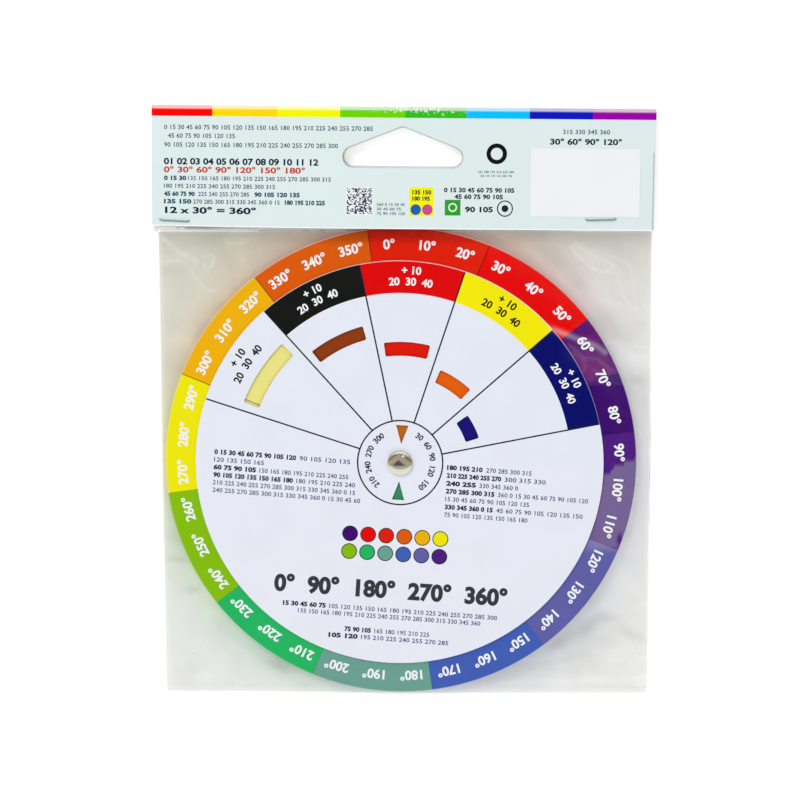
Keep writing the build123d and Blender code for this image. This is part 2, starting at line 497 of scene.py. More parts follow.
BLACK = linear(22, 22, 18)
RED = linear(229, 2, 2)
YELLOW = linear(250, 238, 4)
BLUE = linear(3, 10, 106)
GREY = linear(128, 128, 128)

# Rings from the rivet out: where each starts, what is stirred in and how much of it.
HUB_RING, BLUE_RING_END, TINT_RING, RIM_RING = 14.0, 25.3, 43.8, 60.2
FRONT_RINGS = [
    (0.0, BLUE, 0.0), (BLUE_RING_END, YELLOW, 0.14), (31.2, RED, 0.3), (37.2, BLACK, 0.62),
    (TINT_RING, WHITE, 0.0), (RIM_RING, WHITE, 0.0),
]
REAR_RINGS = [(0.0, BLACK, 0.55), (37.2, GREY, 0.5), (TINT_RING, WHITE, 0.55), (RIM_RING, WHITE, 0.0)]
DISC_RADIUS = 70.0
LINE_HALF = 0.14
EDGE_HIGHLIGHT_FROM, CUT_CORE = 69.78, 69.9
DISC_SKIN = 0.04


def stirred(hue, radius, rings):
    """The hue with what each ring stirs in: a ramp of colours, and one of greys for the shares."""
    starts, colors, shares = zip(*rings)
    starts = [start / DISC_RADIUS for start in starts]
    out = radius / DISC_RADIUS
    share = steps_of(out, [(share, share, share, 1.0) for share in shares], starts)
    return blend(share, hue, steps_of(out, colors, starts))


# %% The disc's print
disc_print, shader = new_material("disc_print")
at = use_group(polar_group, Turned=0.0)
radius, height = at["Radius"], at["Height"]
turns = reckon("FRACT", (at["Degrees"] - FIRST_BOUNDARY) / FULL_TURN)
sector = middle_of_step(turns, 12.0)
hue = steps_of(sector, HUES)
# Painted reflection: a soft magenta mottle on the violet sector's rim, where the film throws back light.
glare_mottle = spread(noise(at["Place"], 7.0), 0.42, 0.6, 0.45, 1.0)
glare_patch = spread(turns, 0.0412, 0.0452, smooth=True) * between(turns, 0.0, 1 / 12)
glare_patch = glare_patch * above(radius, RIM_RING)
hue = blend(glare_mottle * glare_patch, hue, linear(112, 24, 116))
mixed = stirred(hue, radius, FRONT_RINGS)
mixed = blend(between(radius, TINT_RING, RIM_RING), mixed, steps_of(sector, TINTS))
mixed = blend(between(radius, HUB_RING, BLUE_RING_END), mixed, steps_of(sector, BLUE_MIXES))
face = blend(above(height, DISC_TOP - CARD / 2), stirred(hue, radius, REAR_RINGS), mixed)
face = blend(below(radius, HUB_RING), face, steps_of(sector, OPPOSITES))
beside = off_whole(turns * 12.0) * radius * (math.tau / 12)
line = below(beside, LINE_HALF) * (between(turns, 0.12, 0.47) * 0.6 + 0.15)
face = blend(line, face, linear(40, 16, 10))
# Painted highlight along the disc's edge, stronger towards the top and weaker to the right.
rim = above(radius, EDGE_HIGHLIGHT_FROM) * spread(at["Up"], -35.0, 45.0, 0.25, 0.8)
rim = rim * spread(at["Across"], 25.0, 50.0, 1.0, 0.1)
face = blend(rim, face, blend(0.5, hue, linear(250, 236, 226)))
core = between(height, DISC_TOP - CARD + DISC_SKIN, DISC_TOP - DISC_SKIN) * above(radius, CUT_CORE)
finish_card(shader, blend(core, face, linear(226, 222, 214)), at["Place"])
wear(nodes["color_disc"], disc_print)
print("hues:", len(HUES), "rings:", len(FRONT_RINGS))

# %% [markdown]
# ## The front dial
#
# White coated card. Five sectors at the top hold a coloured field at the rim, which says what
# is added, and a window each. Thin navy lines part them, and a circle rings the rivet. Twelve
# dots show the hues. The card's cut edge is bare white board, darker inside the windows where
# light hardly reaches.

# %% Front dial
DIAL_TURN = 3.5
LINE_FIRST = 11.05
LINE_STEP = 30.16
LINES_X, LINES_Y = 0.2, 0.2
LINE_WIDTH = 0.45
HUB_CIRCLE = 12.65
FIELD_START = 50.65
PAPER = linear(235, 238, 248)
INK = linear(27, 33, 48)
DOTS_LEFT, DOTS_TOP, DOT_STEP = -16.4, -19.6, 5.4
DIAL_RADIUS = 60.65
DIAL_OFF_X, DIAL_OFF_Y = -0.32, -0.41
DIAL_SKIN = 0.03
DOT_SIZE, DOT_HUE_SIZE = 0.44, 0.39
WINDOWS_END = 52.0
WALL = linear(232, 230, 226)

dial_print, shader = new_material("dial_print")
at = use_group(polar_group, Turned=0.0)
across, up, radius, height = at["Across"], at["Up"], at["Radius"], at["Height"]
facing = direction(across, up, LINES_X, LINES_Y)
out_from_lines = distance(across, up, LINES_X, LINES_Y)
line_place = (facing - LINE_FIRST) / LINE_STEP
field = steps_of(middle_of_step(line_place / 5.0, 5.0), [BLUE, YELLOW, RED, BLACK, PAPER])
in_field = between(line_place, 0.0, 5.0) * above(radius, FIELD_START)
face = blend(in_field, PAPER, field)
gap = off_whole(line_place) * out_from_lines * math.radians(LINE_STEP)
lines = below(gap, LINE_WIDTH / 2) * between(line_place, -0.1, 5.1) * above(radius, HUB_CIRCLE)
circle = between(radius, HUB_CIRCLE - LINE_WIDTH / 2, HUB_CIRCLE + LINE_WIDTH / 2)
straight = use_group(polar_group, Turned=DIAL_TURN)
cell_x, cell_y = (straight["Across"] - DOTS_LEFT) / DOT_STEP, (DOTS_TOP - straight["Up"]) / DOT_STEP
in_block = between(cell_x, 0.0, 6.0) * between(cell_y, 0.0, 2.0)
from_dot = distance(reckon("FRACT", cell_x), reckon("FRACT", cell_y), 0.5, 0.5)
which = reckon("FLOOR", cell_y) * 6.0 + reckon("FLOOR", cell_x)
face = blend(in_block * below(from_dot, DOT_SIZE), face, INK)
face = blend(in_block * below(from_dot, DOT_HUE_SIZE), face, steps_of((which + 0.5) / 12.0, HUES))
face = blend(either(lines, circle), face, INK)
# Painted highlight along the dial's edge, stronger towards the top and weaker to the right.
rim = above(distance(across, up, DIAL_OFF_X, DIAL_OFF_Y), DIAL_RADIUS - 0.2)
rim = rim * spread(up, -30.0, 30.0, 0.1, 0.6) * spread(across, 42.0, 52.0, 1.0, 0.5)
face = blend(rim, face, linear(244, 240, 240))
# Painted shade: the face grows slightly darker and cooler towards the top.
face = blend(spread(up, -25.0, 55.0), face, (0.965, 0.98, 0.995, 1.0), way="MULTIPLY")
wall = blend(below(radius, WINDOWS_END), WALL, linear(120, 112, 108))
wall = blend(below(height, DIAL_TOP - CARD + DIAL_SKIN), wall, WALL)
finish_card(shader, blend(above(height, DIAL_TOP - DIAL_SKIN), wall, face), at["Place"])
wear(nodes["front_dial"], dial_print)
print("front dial printed")

# %% [markdown]
# ## The rear dial
#
# The photograph does not show it. Dials of this kind carry the harmony figures on the back:
# a circle with a triangle and a square, open where the windows are, and a scale at the rim.
# Thin lines on white card do that.

# %% Rear dial
REAR_DIAL_LOW = 1.4
FIGURE_RADIUS = 33.0
SIDE_WIDTH, CIRCLE_WIDTH, HUB_WIDTH, TICK_WIDTH = 0.5, 0.45, 0.44, 0.4
TICK_STEP = 10.0
TICK_START, TICK_END, SCALE_END = 55.4, 57.6, 58.0

rear_print, shader = new_material("rear_dial_print")
at = use_group(polar_group, Turned=0.0)
degrees, radius = at["Degrees"], at["Radius"]


def polygon_line(sides, phase):
    """Outline of a regular polygon: the distance to its nearest side is close to its inner radius."""
    step = FULL_TURN / sides
    local = reckon("MODULO", degrees + (FULL_TURN + phase), step) - step / 2
    reach = radius * reckon("COSINE", local * math.radians(1.0))
    inner = FIGURE_RADIUS * math.cos(math.pi / sides)
    return between(reach, inner - SIDE_WIDTH / 2, inner + SIDE_WIDTH / 2)


circle = between(radius, FIGURE_RADIUS, FIGURE_RADIUS + CIRCLE_WIDTH)
figures = either(polygon_line(3, 30.0), polygon_line(4, 0.0), circle)
figures = figures * (1.0 - between(degrees, 61.0, 119.0))
hub_ring = between(radius, HUB_CIRCLE - HUB_WIDTH / 2, HUB_CIRCLE + HUB_WIDTH / 2)
off_tick = off_whole(degrees / TICK_STEP) * radius * math.radians(TICK_STEP)
ticks = below(off_tick, TICK_WIDTH / 2) * between(radius, TICK_START, TICK_END)
scale_ring = between(radius, TICK_END, SCALE_END)
face = blend(either(figures, hub_ring, ticks, scale_ring), PAPER, INK)
sides = between(at["Height"], REAR_DIAL_LOW + DIAL_SKIN, REAR_DIAL_LOW + CARD - DIAL_SKIN)
finish_card(shader, blend(sides, face, linear(226, 224, 220)), at["Place"])
wear(nodes["rear_dial"], rear_print)
print("rear dial printed")

# %% [markdown]
# ## The sticker
#
# A plain white paper label on the header card, rougher than the coated board round it.

# %% Sticker
label_paper, shader = new_material("label_paper")
finish_card(shader, linear(239, 240, 242), roughness=0.6, strength=0.03, bump=0.1)
wear(nodes["blank_label"], label_paper)
print("sticker ready")

# %% [markdown]
# ## Making meshes
#
# New pieces are worked out with numpy as whole arrays of points, and these helpers turn them
# into objects. A piece's place is in its mesh, so the object itself stays at the origin.

# %% Mesh helpers
LATTICE = 160


def finish_piece(name, mesh, body, replaced=(), sharp=35.0):
    """An object from a finished mesh, riding on a body, smooth except at sharp edges."""
    mesh.polygons.foreach_set("use_smooth", np.ones(len(mesh.polygons), bool))
    mesh.set_sharp_from_angle(angle=math.radians(sharp))
    piece = bpy.data.objects.new(name, mesh)
    scene.collection.objects.link(piece)
    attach(piece, body)
    if replaced:
        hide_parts(*replaced)
    print(name, len(mesh.vertices), "points,", len(mesh.polygons), "faces")
    return piece


def add_piece(name, points, faces, body, slot, materials, replaced=(), sharp=35.0):
    """A piece from points in millimetres and faces."""
    mesh = bpy.data.meshes.new(name)
    points = np.asarray(points, float) * MM
    mesh.from_pydata(points.tolist(), [], [list(map(int, face)) for face in faces])
    mesh.validate()
    piece = finish_piece(name, mesh, body, replaced, sharp)
    wear(piece, *materials)
    return piece


def smooth_step(value):
    """0 below 0, 1 above 1, and 3t2 - 2t3 between."""
    t = np.clip(value, 0, 1)
    return t * t * (3 - 2 * t)


def eased(value, start, over):
    """0 up to start, 1 from start + over on, a smooth step between. Below 0, over turns it round."""
    return smooth_step((value - start) / over)


def bell(value, width, power=2):
    """1 in the middle, falling off on both sides: exp(-(value / width) to the power)."""
    return np.exp(-((value / width) ** power))


def turned_by(x, y, degrees):
    """x and y turned about the origin."""
    a = math.radians(degrees)
    return x * math.cos(a) - y * math.sin(a), x * math.sin(a) + y * math.cos(a)


def soft_random(x, y, cell, seed):
    """Random values on a square lattice of the given cell size, joined by smooth steps."""
    lattice = np.random.default_rng(seed).random((LATTICE, LATTICE))
    column, row = np.floor(x / cell).astype(int), np.floor(y / cell).astype(int)
    across, up = smooth_step(x / cell - column), smooth_step(y / cell - row)
    left, right = column % LATTICE, (column + 1) % LATTICE
    low, high = [
        lattice[line % LATTICE, left] * (1 - across) + lattice[line % LATTICE, right] * across
        for line in (row, row + 1)
    ]
    return low * (1 - up) + high * up


def ring_walls(rings, sides):
    """Quads between rings of points that lie one after another."""
    index = np.arange(rings * sides).reshape(rings, sides)
    after = np.roll(index, -1, axis=1)
    return np.stack([index[:-1], after[:-1], after[1:], index[1:]], axis=-1).reshape(-1, 4)


print("mesh helpers ready")

# %% [markdown]
# ## The header card
#
# A real header is cut flat and folded over the bag's mouth. It is made the same way here: the
# flat blank is filled with points, the hang hole is cut out twice, once for each panel, and a
# fold function bends the blank round the bag. Solidify then gives the board its thickness, and
# the print reads the flat blank's own coordinates, so it follows the fold.

# %% Header sizes
HEADER_X = 0.0
HEADER_Y = 69.92
HEADER_TURN = -0.67
HEADER_WIDTH = 147.35
HEADER_HALF = 17.6
BOARD = 0.4
FOLD_RADIUS = 1.15
REAR_Z = 0.52
FRONT_LOW_Z = 3.446
FOLD_V = HEADER_HALF - FOLD_RADIUS
BLANK_START = -20.0
FOLD_IN = FOLD_V - BLANK_START
FOLD_OUT = FOLD_IN + math.pi * FOLD_RADIUS
FRONT_LENGTH = FOLD_V + HEADER_HALF
BLANK_LENGTH = FOLD_OUT + FRONT_LENGTH
REAR_EDGE = -18.70
REAR_SLOPE = 0.0117
BULGE_MIDDLE, BULGE_WIDTH, BULGE_HEIGHT = -14, 27, 1.3
BOW, BOW_REACH = 0.27, 76


def front_rise(down):
    """Height of the front panel's face at a distance down from the fold, on its even slope."""
    return REAR_Z + 2 * FOLD_RADIUS + (FRONT_LOW_Z - REAR_Z - 2 * FOLD_RADIUS) * down / FRONT_LENGTH


def fold_blank(u, s):
    """Folds the flat blank. s runs up the rear panel, round the fold and down the front panel.
    The front panel rises evenly to its lower edge, which bows down in the middle, and bulges a
    little over the bag's mouth."""
    bend = np.clip((s - FOLD_IN) / FOLD_RADIUS, 0, math.pi)
    down = np.clip(s - FOLD_OUT, 0, None)
    v = np.where(s < FOLD_IN, s + BLANK_START, FOLD_V + FOLD_RADIUS * np.sin(bend) - down)
    v = v - BOW * (1 - (u / BOW_REACH) ** 4) * (down / FRONT_LENGTH) ** 3
    bulge = BULGE_HEIGHT * bell(u - BULGE_MIDDLE, BULGE_WIDTH) * (down / FRONT_LENGTH) ** 1.6
    z = front_rise(down) - FOLD_RADIUS * (1 + np.cos(bend)) + bulge
    return u, v, z


def header_to_pack(u, v):
    """From the header's own directions to the pack's: turned, then moved."""
    x, y = turned_by(u, v, HEADER_TURN)
    return HEADER_X + x, HEADER_Y + y


print("blank length", round(BLANK_LENGTH, 2), "mm")

# %% Hang holes
HANG_SIDE = 14.5
HANG_LOW = -0.1
HANG_LOBE = 3.2
HANG_APEX = 2.0
HANG_HEIGHT = 12.15
REAR_HOLE_INSET = 0.4


def hang_outline(inset):
    """The tight outline of three circles, two wide apart and one above, each less by the inset."""
    turns = np.linspace(0, math.tau, 96, endpoint=False)
    ring = np.stack([np.cos(turns), np.sin(turns)], axis=1)
    lobes = [ring * (HANG_LOBE - inset) + (x, HANG_LOW + HANG_LOBE) for x in (-HANG_SIDE, HANG_SIDE)]
    apex = ring * (HANG_APEX - inset) + (0, HANG_LOW + HANG_HEIGHT - HANG_APEX)
    points = np.concatenate([*lobes, apex])
    return points[convex_hull_2d([Vector(p) for p in points])]


front_hole = hang_outline(0.0) * (1, -1) + (0, FOLD_OUT + FOLD_V)
rear_hole = hang_outline(REAR_HOLE_INSET) + (0, -BLANK_START)
print("hole outlines", len(front_hole), len(rear_hole), "points")

# %% Cut and fold the blank
MARGIN = 0.5
COLUMNS = 92
FOLD_ROWS = 17
CLEAR_OF_HOLES = 1.04


def inside(points, outline):
    """Which points lie inside a closed outline: an odd number of its edges lies to their right."""
    x, y = points[:, :1], points[:, 1:]
    x1, y1 = outline[:, 0], outline[:, 1]
    x2, y2 = np.roll(x1, -1), np.roll(y1, -1)
    crossing = (y1 > y) != (y2 > y)
    meets = x1 + (y - y1) * (x2 - x1) / np.where(y2 == y1, 1e-9, y2 - y1)
    return (crossing & (x < meets)).sum(axis=1) % 2 == 1


def rear_edge(u):
    """Where the blank starts: the rear panel's lower edge runs at a slight slope."""
    return REAR_EDGE - BLANK_START + REAR_SLOPE * u


def fill_blank(step):
    """Points all over the blank, denser across the fold, and its edge and holes, made triangles."""
    side = HEADER_WIDTH / 2
    rise = np.concatenate([
        np.arange(0, FOLD_IN - 1, step), np.linspace(FOLD_IN - 0.6, FOLD_OUT + 0.6, FOLD_ROWS),
        np.arange(FOLD_OUT + 2, BLANK_LENGTH, step),
    ])
    columns = np.linspace(-side, side, COLUMNS)
    u, s = np.meshgrid(columns[1:-1], rise)

    def upright(u):
        """Points up one side, from the lower edge to the upper one."""
        rows = rise[(rise > rear_edge(u) + MARGIN) & (rise < BLANK_LENGTH - MARGIN)]
        return np.stack([np.full(len(rows), u), rows], 1)

    border = np.concatenate([
        np.stack([columns, rear_edge(columns)], 1), upright(side),
        np.stack([columns[::-1], np.full(len(columns), BLANK_LENGTH)], 1), upright(-side)[::-1],
    ])
    within = (s > rear_edge(u) + MARGIN) & (s < BLANK_LENGTH - MARGIN)
    inner = np.stack([u[within], s[within]], 1)
    for hole in (front_hole, rear_hole):
        centre = hole.mean(axis=0)
        inner = inner[~inside(inner, centre + (hole - centre) * CLEAR_OF_HOLES)]
    edges, start = [], 0
    for loop in (border, front_hole, rear_hole):
        edges += [(start + i, start + (i + 1) % len(loop)) for i in range(len(loop))]
        start += len(loop)
    points = np.concatenate([border, front_hole, rear_hole, inner])
    made = delaunay_2d_cdt([Vector(p) for p in points], edges, [], 0, 1e-6)
    flat = np.array([tuple(p) for p in made[0]])
    faces = np.array([face for face in made[2] if len(face) == 3])
    middles = flat[faces].mean(axis=1)
    keep = inside(middles, border) & ~inside(middles, front_hole) & ~inside(middles, rear_hole)
    return flat, faces[keep]


blank_points, blank_faces = fill_blank(1.7)
print("blank", len(blank_points), "points", len(blank_faces), "faces")

# %% [markdown]
# The print on the header: pale mint board, eight bright bands along the fold, cracked where the
# board was creased and lighter along the crease, as worn print and a painted highlight, and plain
# patches below. A thin grey line of painted shadow runs down the lower part of the front's right
# edge. The side that faces the bag and the cut edges are bare white board, and so is a hair's
# breadth at the front's lower edge.

# %% Header print
BAND_ENDS = [-56.06, -37.31, -18.74, 0.39, 18.11, 36.51, 54.82]
BANDS = [
    linear(250, 4, 4), linear(253, 216, 4), linear(244, 245, 4), linear(108, 212, 4),
    linear(50, 188, 30), linear(6, 192, 250), linear(14, 24, 192), linear(154, 4, 166),
]
MINT = linear(220, 234, 234)
FOLD_MIDDLE = (FOLD_IN + FOLD_OUT) / 2
BAND_REACH = 3.76
SCUFF_REACH = 3.4
NAVY = linear(24, 42, 58)
CUT_LINE = FOLD_OUT + FOLD_V - BLANK_LENGTH + 0.3
MOSAIC_CELL = 0.33

header_print, shader = new_material("header_print")
sizes = (HEADER_WIDTH, BLANK_LENGTH, 1.0)
flat_place = node("ShaderNodeUVMap", uv_map="blank")
flat_mm = node("ShaderNodeVectorMath", {0: flat_place, 1: sizes}, operation="MULTIPLY")
over, along, _ = split(flat_mm)
across, up = over - HEADER_WIDTH / 2, FOLD_OUT + FOLD_V - along
starts = [0.0] + [(end + HEADER_WIDTH / 2) / HEADER_WIDTH for end in BAND_ENDS]
band = steps_of(over / HEADER_WIDTH, BANDS, starts)
from_fold = reckon("ABSOLUTE", along - FOLD_MIDDLE)
# Lighter along the fold's crest: worn print and a painted highlight.
fold_wear_and_highlight = spread(from_fold, 1.3, 1.9, 0.55, 0.0, smooth=True)
scuffs = noise(flat_mm, 1.1, detail=5.0, roughness=0.65)
scuff_zone = spread(across, -12.0, 2.0, smooth=True) * spread(across, 8.0, 22.0, 1.0, 0.0, smooth=True)
cracked = above(scuffs, spread(from_fold, 1.2, SCUFF_REACH, 0.5, 0.66))
cracked = cracked * scuff_zone * below(from_fold, SCUFF_REACH)
band = blend(either(fold_wear_and_highlight, cracked * 0.8), band, linear(250, 246, 240))
face = blend(below(from_fold, BAND_REACH), MINT, band)
front_side = above(along, FOLD_OUT)


def dot(x, y, outer, inner=-1.0):
    """A disc, or a ring with the inner radius given, printed at (x, y)."""
    return between(distance(across, up, x, y), inner, outer)


def block(left, right, low, high):
    """A rectangle printed between these edges."""
    return between(across, left, right) * between(up, low, high)


for mask, color in [
    (block(2.0, 9.1, -13.9, -5.6), linear(244, 240, 20)), (dot(3.9, -12.0, 1.55), linear(30, 96, 176)),
    (dot(7.3, -12.0, 1.55), linear(205, 76, 140)), (block(12.4, 17.0, -13.6, -9.1), linear(48, 158, 46)),
    (dot(14.7, -11.3, 1.3, 0.9), linear(235, 245, 235)), (dot(30.0, -11.5, 2.35, 2.0), NAVY),
    (dot(30.0, -11.5, 1.0), NAVY), (dot(27.4, 4.3, 3.0, 1.75), linear(20, 22, 24)),
    (block(-16.6, -8.6, -13.7, -5.6), linear(240, 242, 246)),
    # Painted shadow: a thin grey line down the lower part of the front panel's right edge.
    (block(73.0, 73.35, -17.6, 5.0), linear(178, 188, 183)),
    (block(-74.0, 72.9, -19.0, CUT_LINE), linear(252, 252, 250)),
]:
    face = blend(mask * front_side, face, color)
cells = node("ShaderNodeVectorMath", {0: flat_mm, 1: (MOSAIC_CELL,) * 3}, operation="SNAP")
mosaic = node("ShaderNodeTexWhiteNoise", {"Vector": cells}, noise_dimensions="2D")
mosaic = above(mosaic, 0.5) * block(-16.3, -8.9, -13.4, -5.9) * front_side
face = blend(mosaic, face, linear(58, 60, 82))
finish_card(shader, face, flat_mm, roughness=0.4, strength=0.05, bump=0.1)

bare_board, shader = new_material("bare_board")
finish_card(shader, linear(240, 240, 236), roughness=0.7, strength=0.06, bump=0.15)
print("header print ready")

# %% Build the header card
def add_header():
    """The folded blank, its outer face printed, given the board's thickness inwards."""
    mesh = bpy.data.meshes.new("header_blank")
    u, v, z = fold_blank(*blank_points.T)
    points = np.stack([*header_to_pack(u, v), z], axis=1) * MM
    mesh.from_pydata(points.tolist(), [], blank_faces[:, ::-1].tolist())
    layer = mesh.uv_layers.new(name="blank")
    corners = np.zeros(len(mesh.loops), int)
    mesh.loops.foreach_get("vertex_index", corners)
    flat = blank_points / (HEADER_WIDTH, BLANK_LENGTH) + (0.5, 0)
    layer.data.foreach_set("uv", flat[corners].ravel())
    blank = bpy.data.objects.new("header_blank", mesh)
    scene.collection.objects.link(blank)
    wear(blank, header_print, bare_board)
    solid = blank.modifiers.new("board", "SOLIDIFY")
    solid.thickness = BOARD * MM
    solid.offset = -1.0
    solid.material_offset = 1
    solid.material_offset_rim = 1
    solid.use_even_offset = True
    ready = blank.evaluated_get(bpy.context.evaluated_depsgraph_get())
    final = bpy.data.meshes.new_from_object(ready)
    bpy.data.objects.remove(blank)
    finish_piece("header_folded", final, "package", ["header_card"], sharp=40.0)


add_header()

# %% [markdown]
# ## The film bag
#
# Thin clear film, welded down both sides and along the foot. It lies on the wheel like a loose
# skin: flat over the dial, tented over the rivet's head, and free to crease in the corners.
# The height of each panel is a function of the place, so it can never cut into the wheel, and
# the two panels share the points of their welded edge, which closes the bag.

# %% Film sizes
BAG_LEFT, BAG_RIGHT = -71.35, 74.25
BAG_LOW, BAG_HIGH = -70.85, 83.35
BAG_CORNER = 2.0
TRAVEL = 3.0
OVER_DIAL, OVER_RIM, OVER_RIVET = 3.17, 2.64, 5.26
DIAL_REACH, DISC_REACH = 61.4, 70.15
FREE_FRONT, FREE_REAR, FREE_FALL = 1.25, 0.45, 7.0
WELD_WIDTH = 0.3
SEAM_LOW, SEAM_RISE = 0.95, 0.85
MOUTH_Z, MOUTH_START = 1.7, 74
FILM_GAP = 0.08

# Sharp creases, each a width, a strength and a line of places from the wheel's centre. The
# strength also sets the painted highlight along each crease.
CREASES = [
    (0.8, 0.9, [(-69.6, 66.6), (-67.2, 64.5), (-64.5, 62.1), (-61.9, 60.9), (-59.9, 60.0)]),
    (0.6, 0.6, [(-69.4, 59.7), (-67.2, 59.9), (-65.2, 60.3), (-63.4, 59.1)]),
    (0.5, 0.8, [(-57.6, 60.9), (-55.4, 62.1), (-54.8, 60.6), (-55.1, 58.8), (-57.1, 56.8), (-57.6, 58.8)]),
    (0.5, 0.7, [(-61.9, 57.9), (-60.2, 55.3), (-58.3, 52.9), (-56.1, 50.8), (-53.7, 51.7)]),
    (0.6, 0.5, [(-51.1, 67.2), (-51.2, 65.9), (-50.3, 64.7), (-48.5, 64.7), (-46.7, 65.2), (-45.0, 66.3)]),
    (0.5, 1.0, [(51.3, 64.8), (55.0, 62.5), (58.3, 60.8), (61.3, 59.6), (62.7, 58.7), (62.2, 57.2),
                (59.0, 56.6), (56.0, 58.1), (52.1, 61.7), (50.1, 64.0)]),
    (0.5, 0.6, [(56.9, 63.1), (60.1, 61.7), (62.7, 60.8), (66.2, 59.6), (67.7, 57.8), (68.6, 54.3),
                (69.3, 48.7), (69.9, 43.9)]),
    (0.5, 0.5, [(59.0, 55.8), (60.7, 53.7), (62.8, 51.6), (64.9, 49.6), (66.9, 47.8), (69.9, 43.9)]),
    (0.7, 0.6, [(61.1, 35.9), (64.1, 35.8), (67.0, 35.3), (70.0, 34.5), (72.9, 33.6)]),
    (0.7, 0.4, [(-67.9, -63.0), (-65.0, -59.9), (-61.6, -57.0), (-59.1, -53.0)]),
    (0.4, 0.7, [(59.7, -50.7), (60.9, -49.7), (62.1, -48.7), (63.6, -48.5), (65.1, -48.7), (66.0, -49.6)]),
    (0.4, 0.8, [(47.2, -62.1), (50.2, -61.2), (53.5, -60.6), (57.4, -60.2), (61.6, -60.1), (68.1, -59.5),
                (72.8, -58.9)]),
    (0.5, 0.5, [(29.8, -66.5), (38.2, -66.3), (46.8, -66.0), (53.8, -65.5), (61.0, -64.8), (67.3, -64.4),
                (73.9, -64.1)]),
    (0.4, 0.5, [(68.7, -54.3), (69.3, -57.7), (70.0, -61.1)]),
    (0.4, 3.2, [(-71.3, 70.1), (-68.0, 70.0), (-66.0, 69.95)]),
    (0.35, 3.4, [(-64.2, 69.9), (-63.4, 69.9)]),
]
# Darker folds, where the film turns away from the light.
FOLDS = [
    (1.6, 0.5, [(45.0, -56.6), (48.6, -54.1), (52.4, -51.4), (56.4, -48.3), (60.3, -46.7), (64.8, -47.9),
                (67.2, -50.1), (69.3, -51.9), (71.7, -53.4), (73.8, -54.2)]),
    (0.9, 0.5, [(-65.0, -39.4), (-63.5, -39.8), (-61.9, -39.4), (-60.4, -38.6), (-58.9, -37.3)]),
    (0.7, 0.5, [(-70.8, -29.6), (-69.3, -30.3), (-68.0, -30.3), (-65.1, -29.3)]),
    (0.6, 0.4, [(60.0, 39.8), (61.7, 38.6), (63.5, 38.0), (63.2, 40.1), (62.0, 41.9)]),
    (0.3, 0.5, [(-68.7, -50.0), (-69.6, -54.0)]),
]
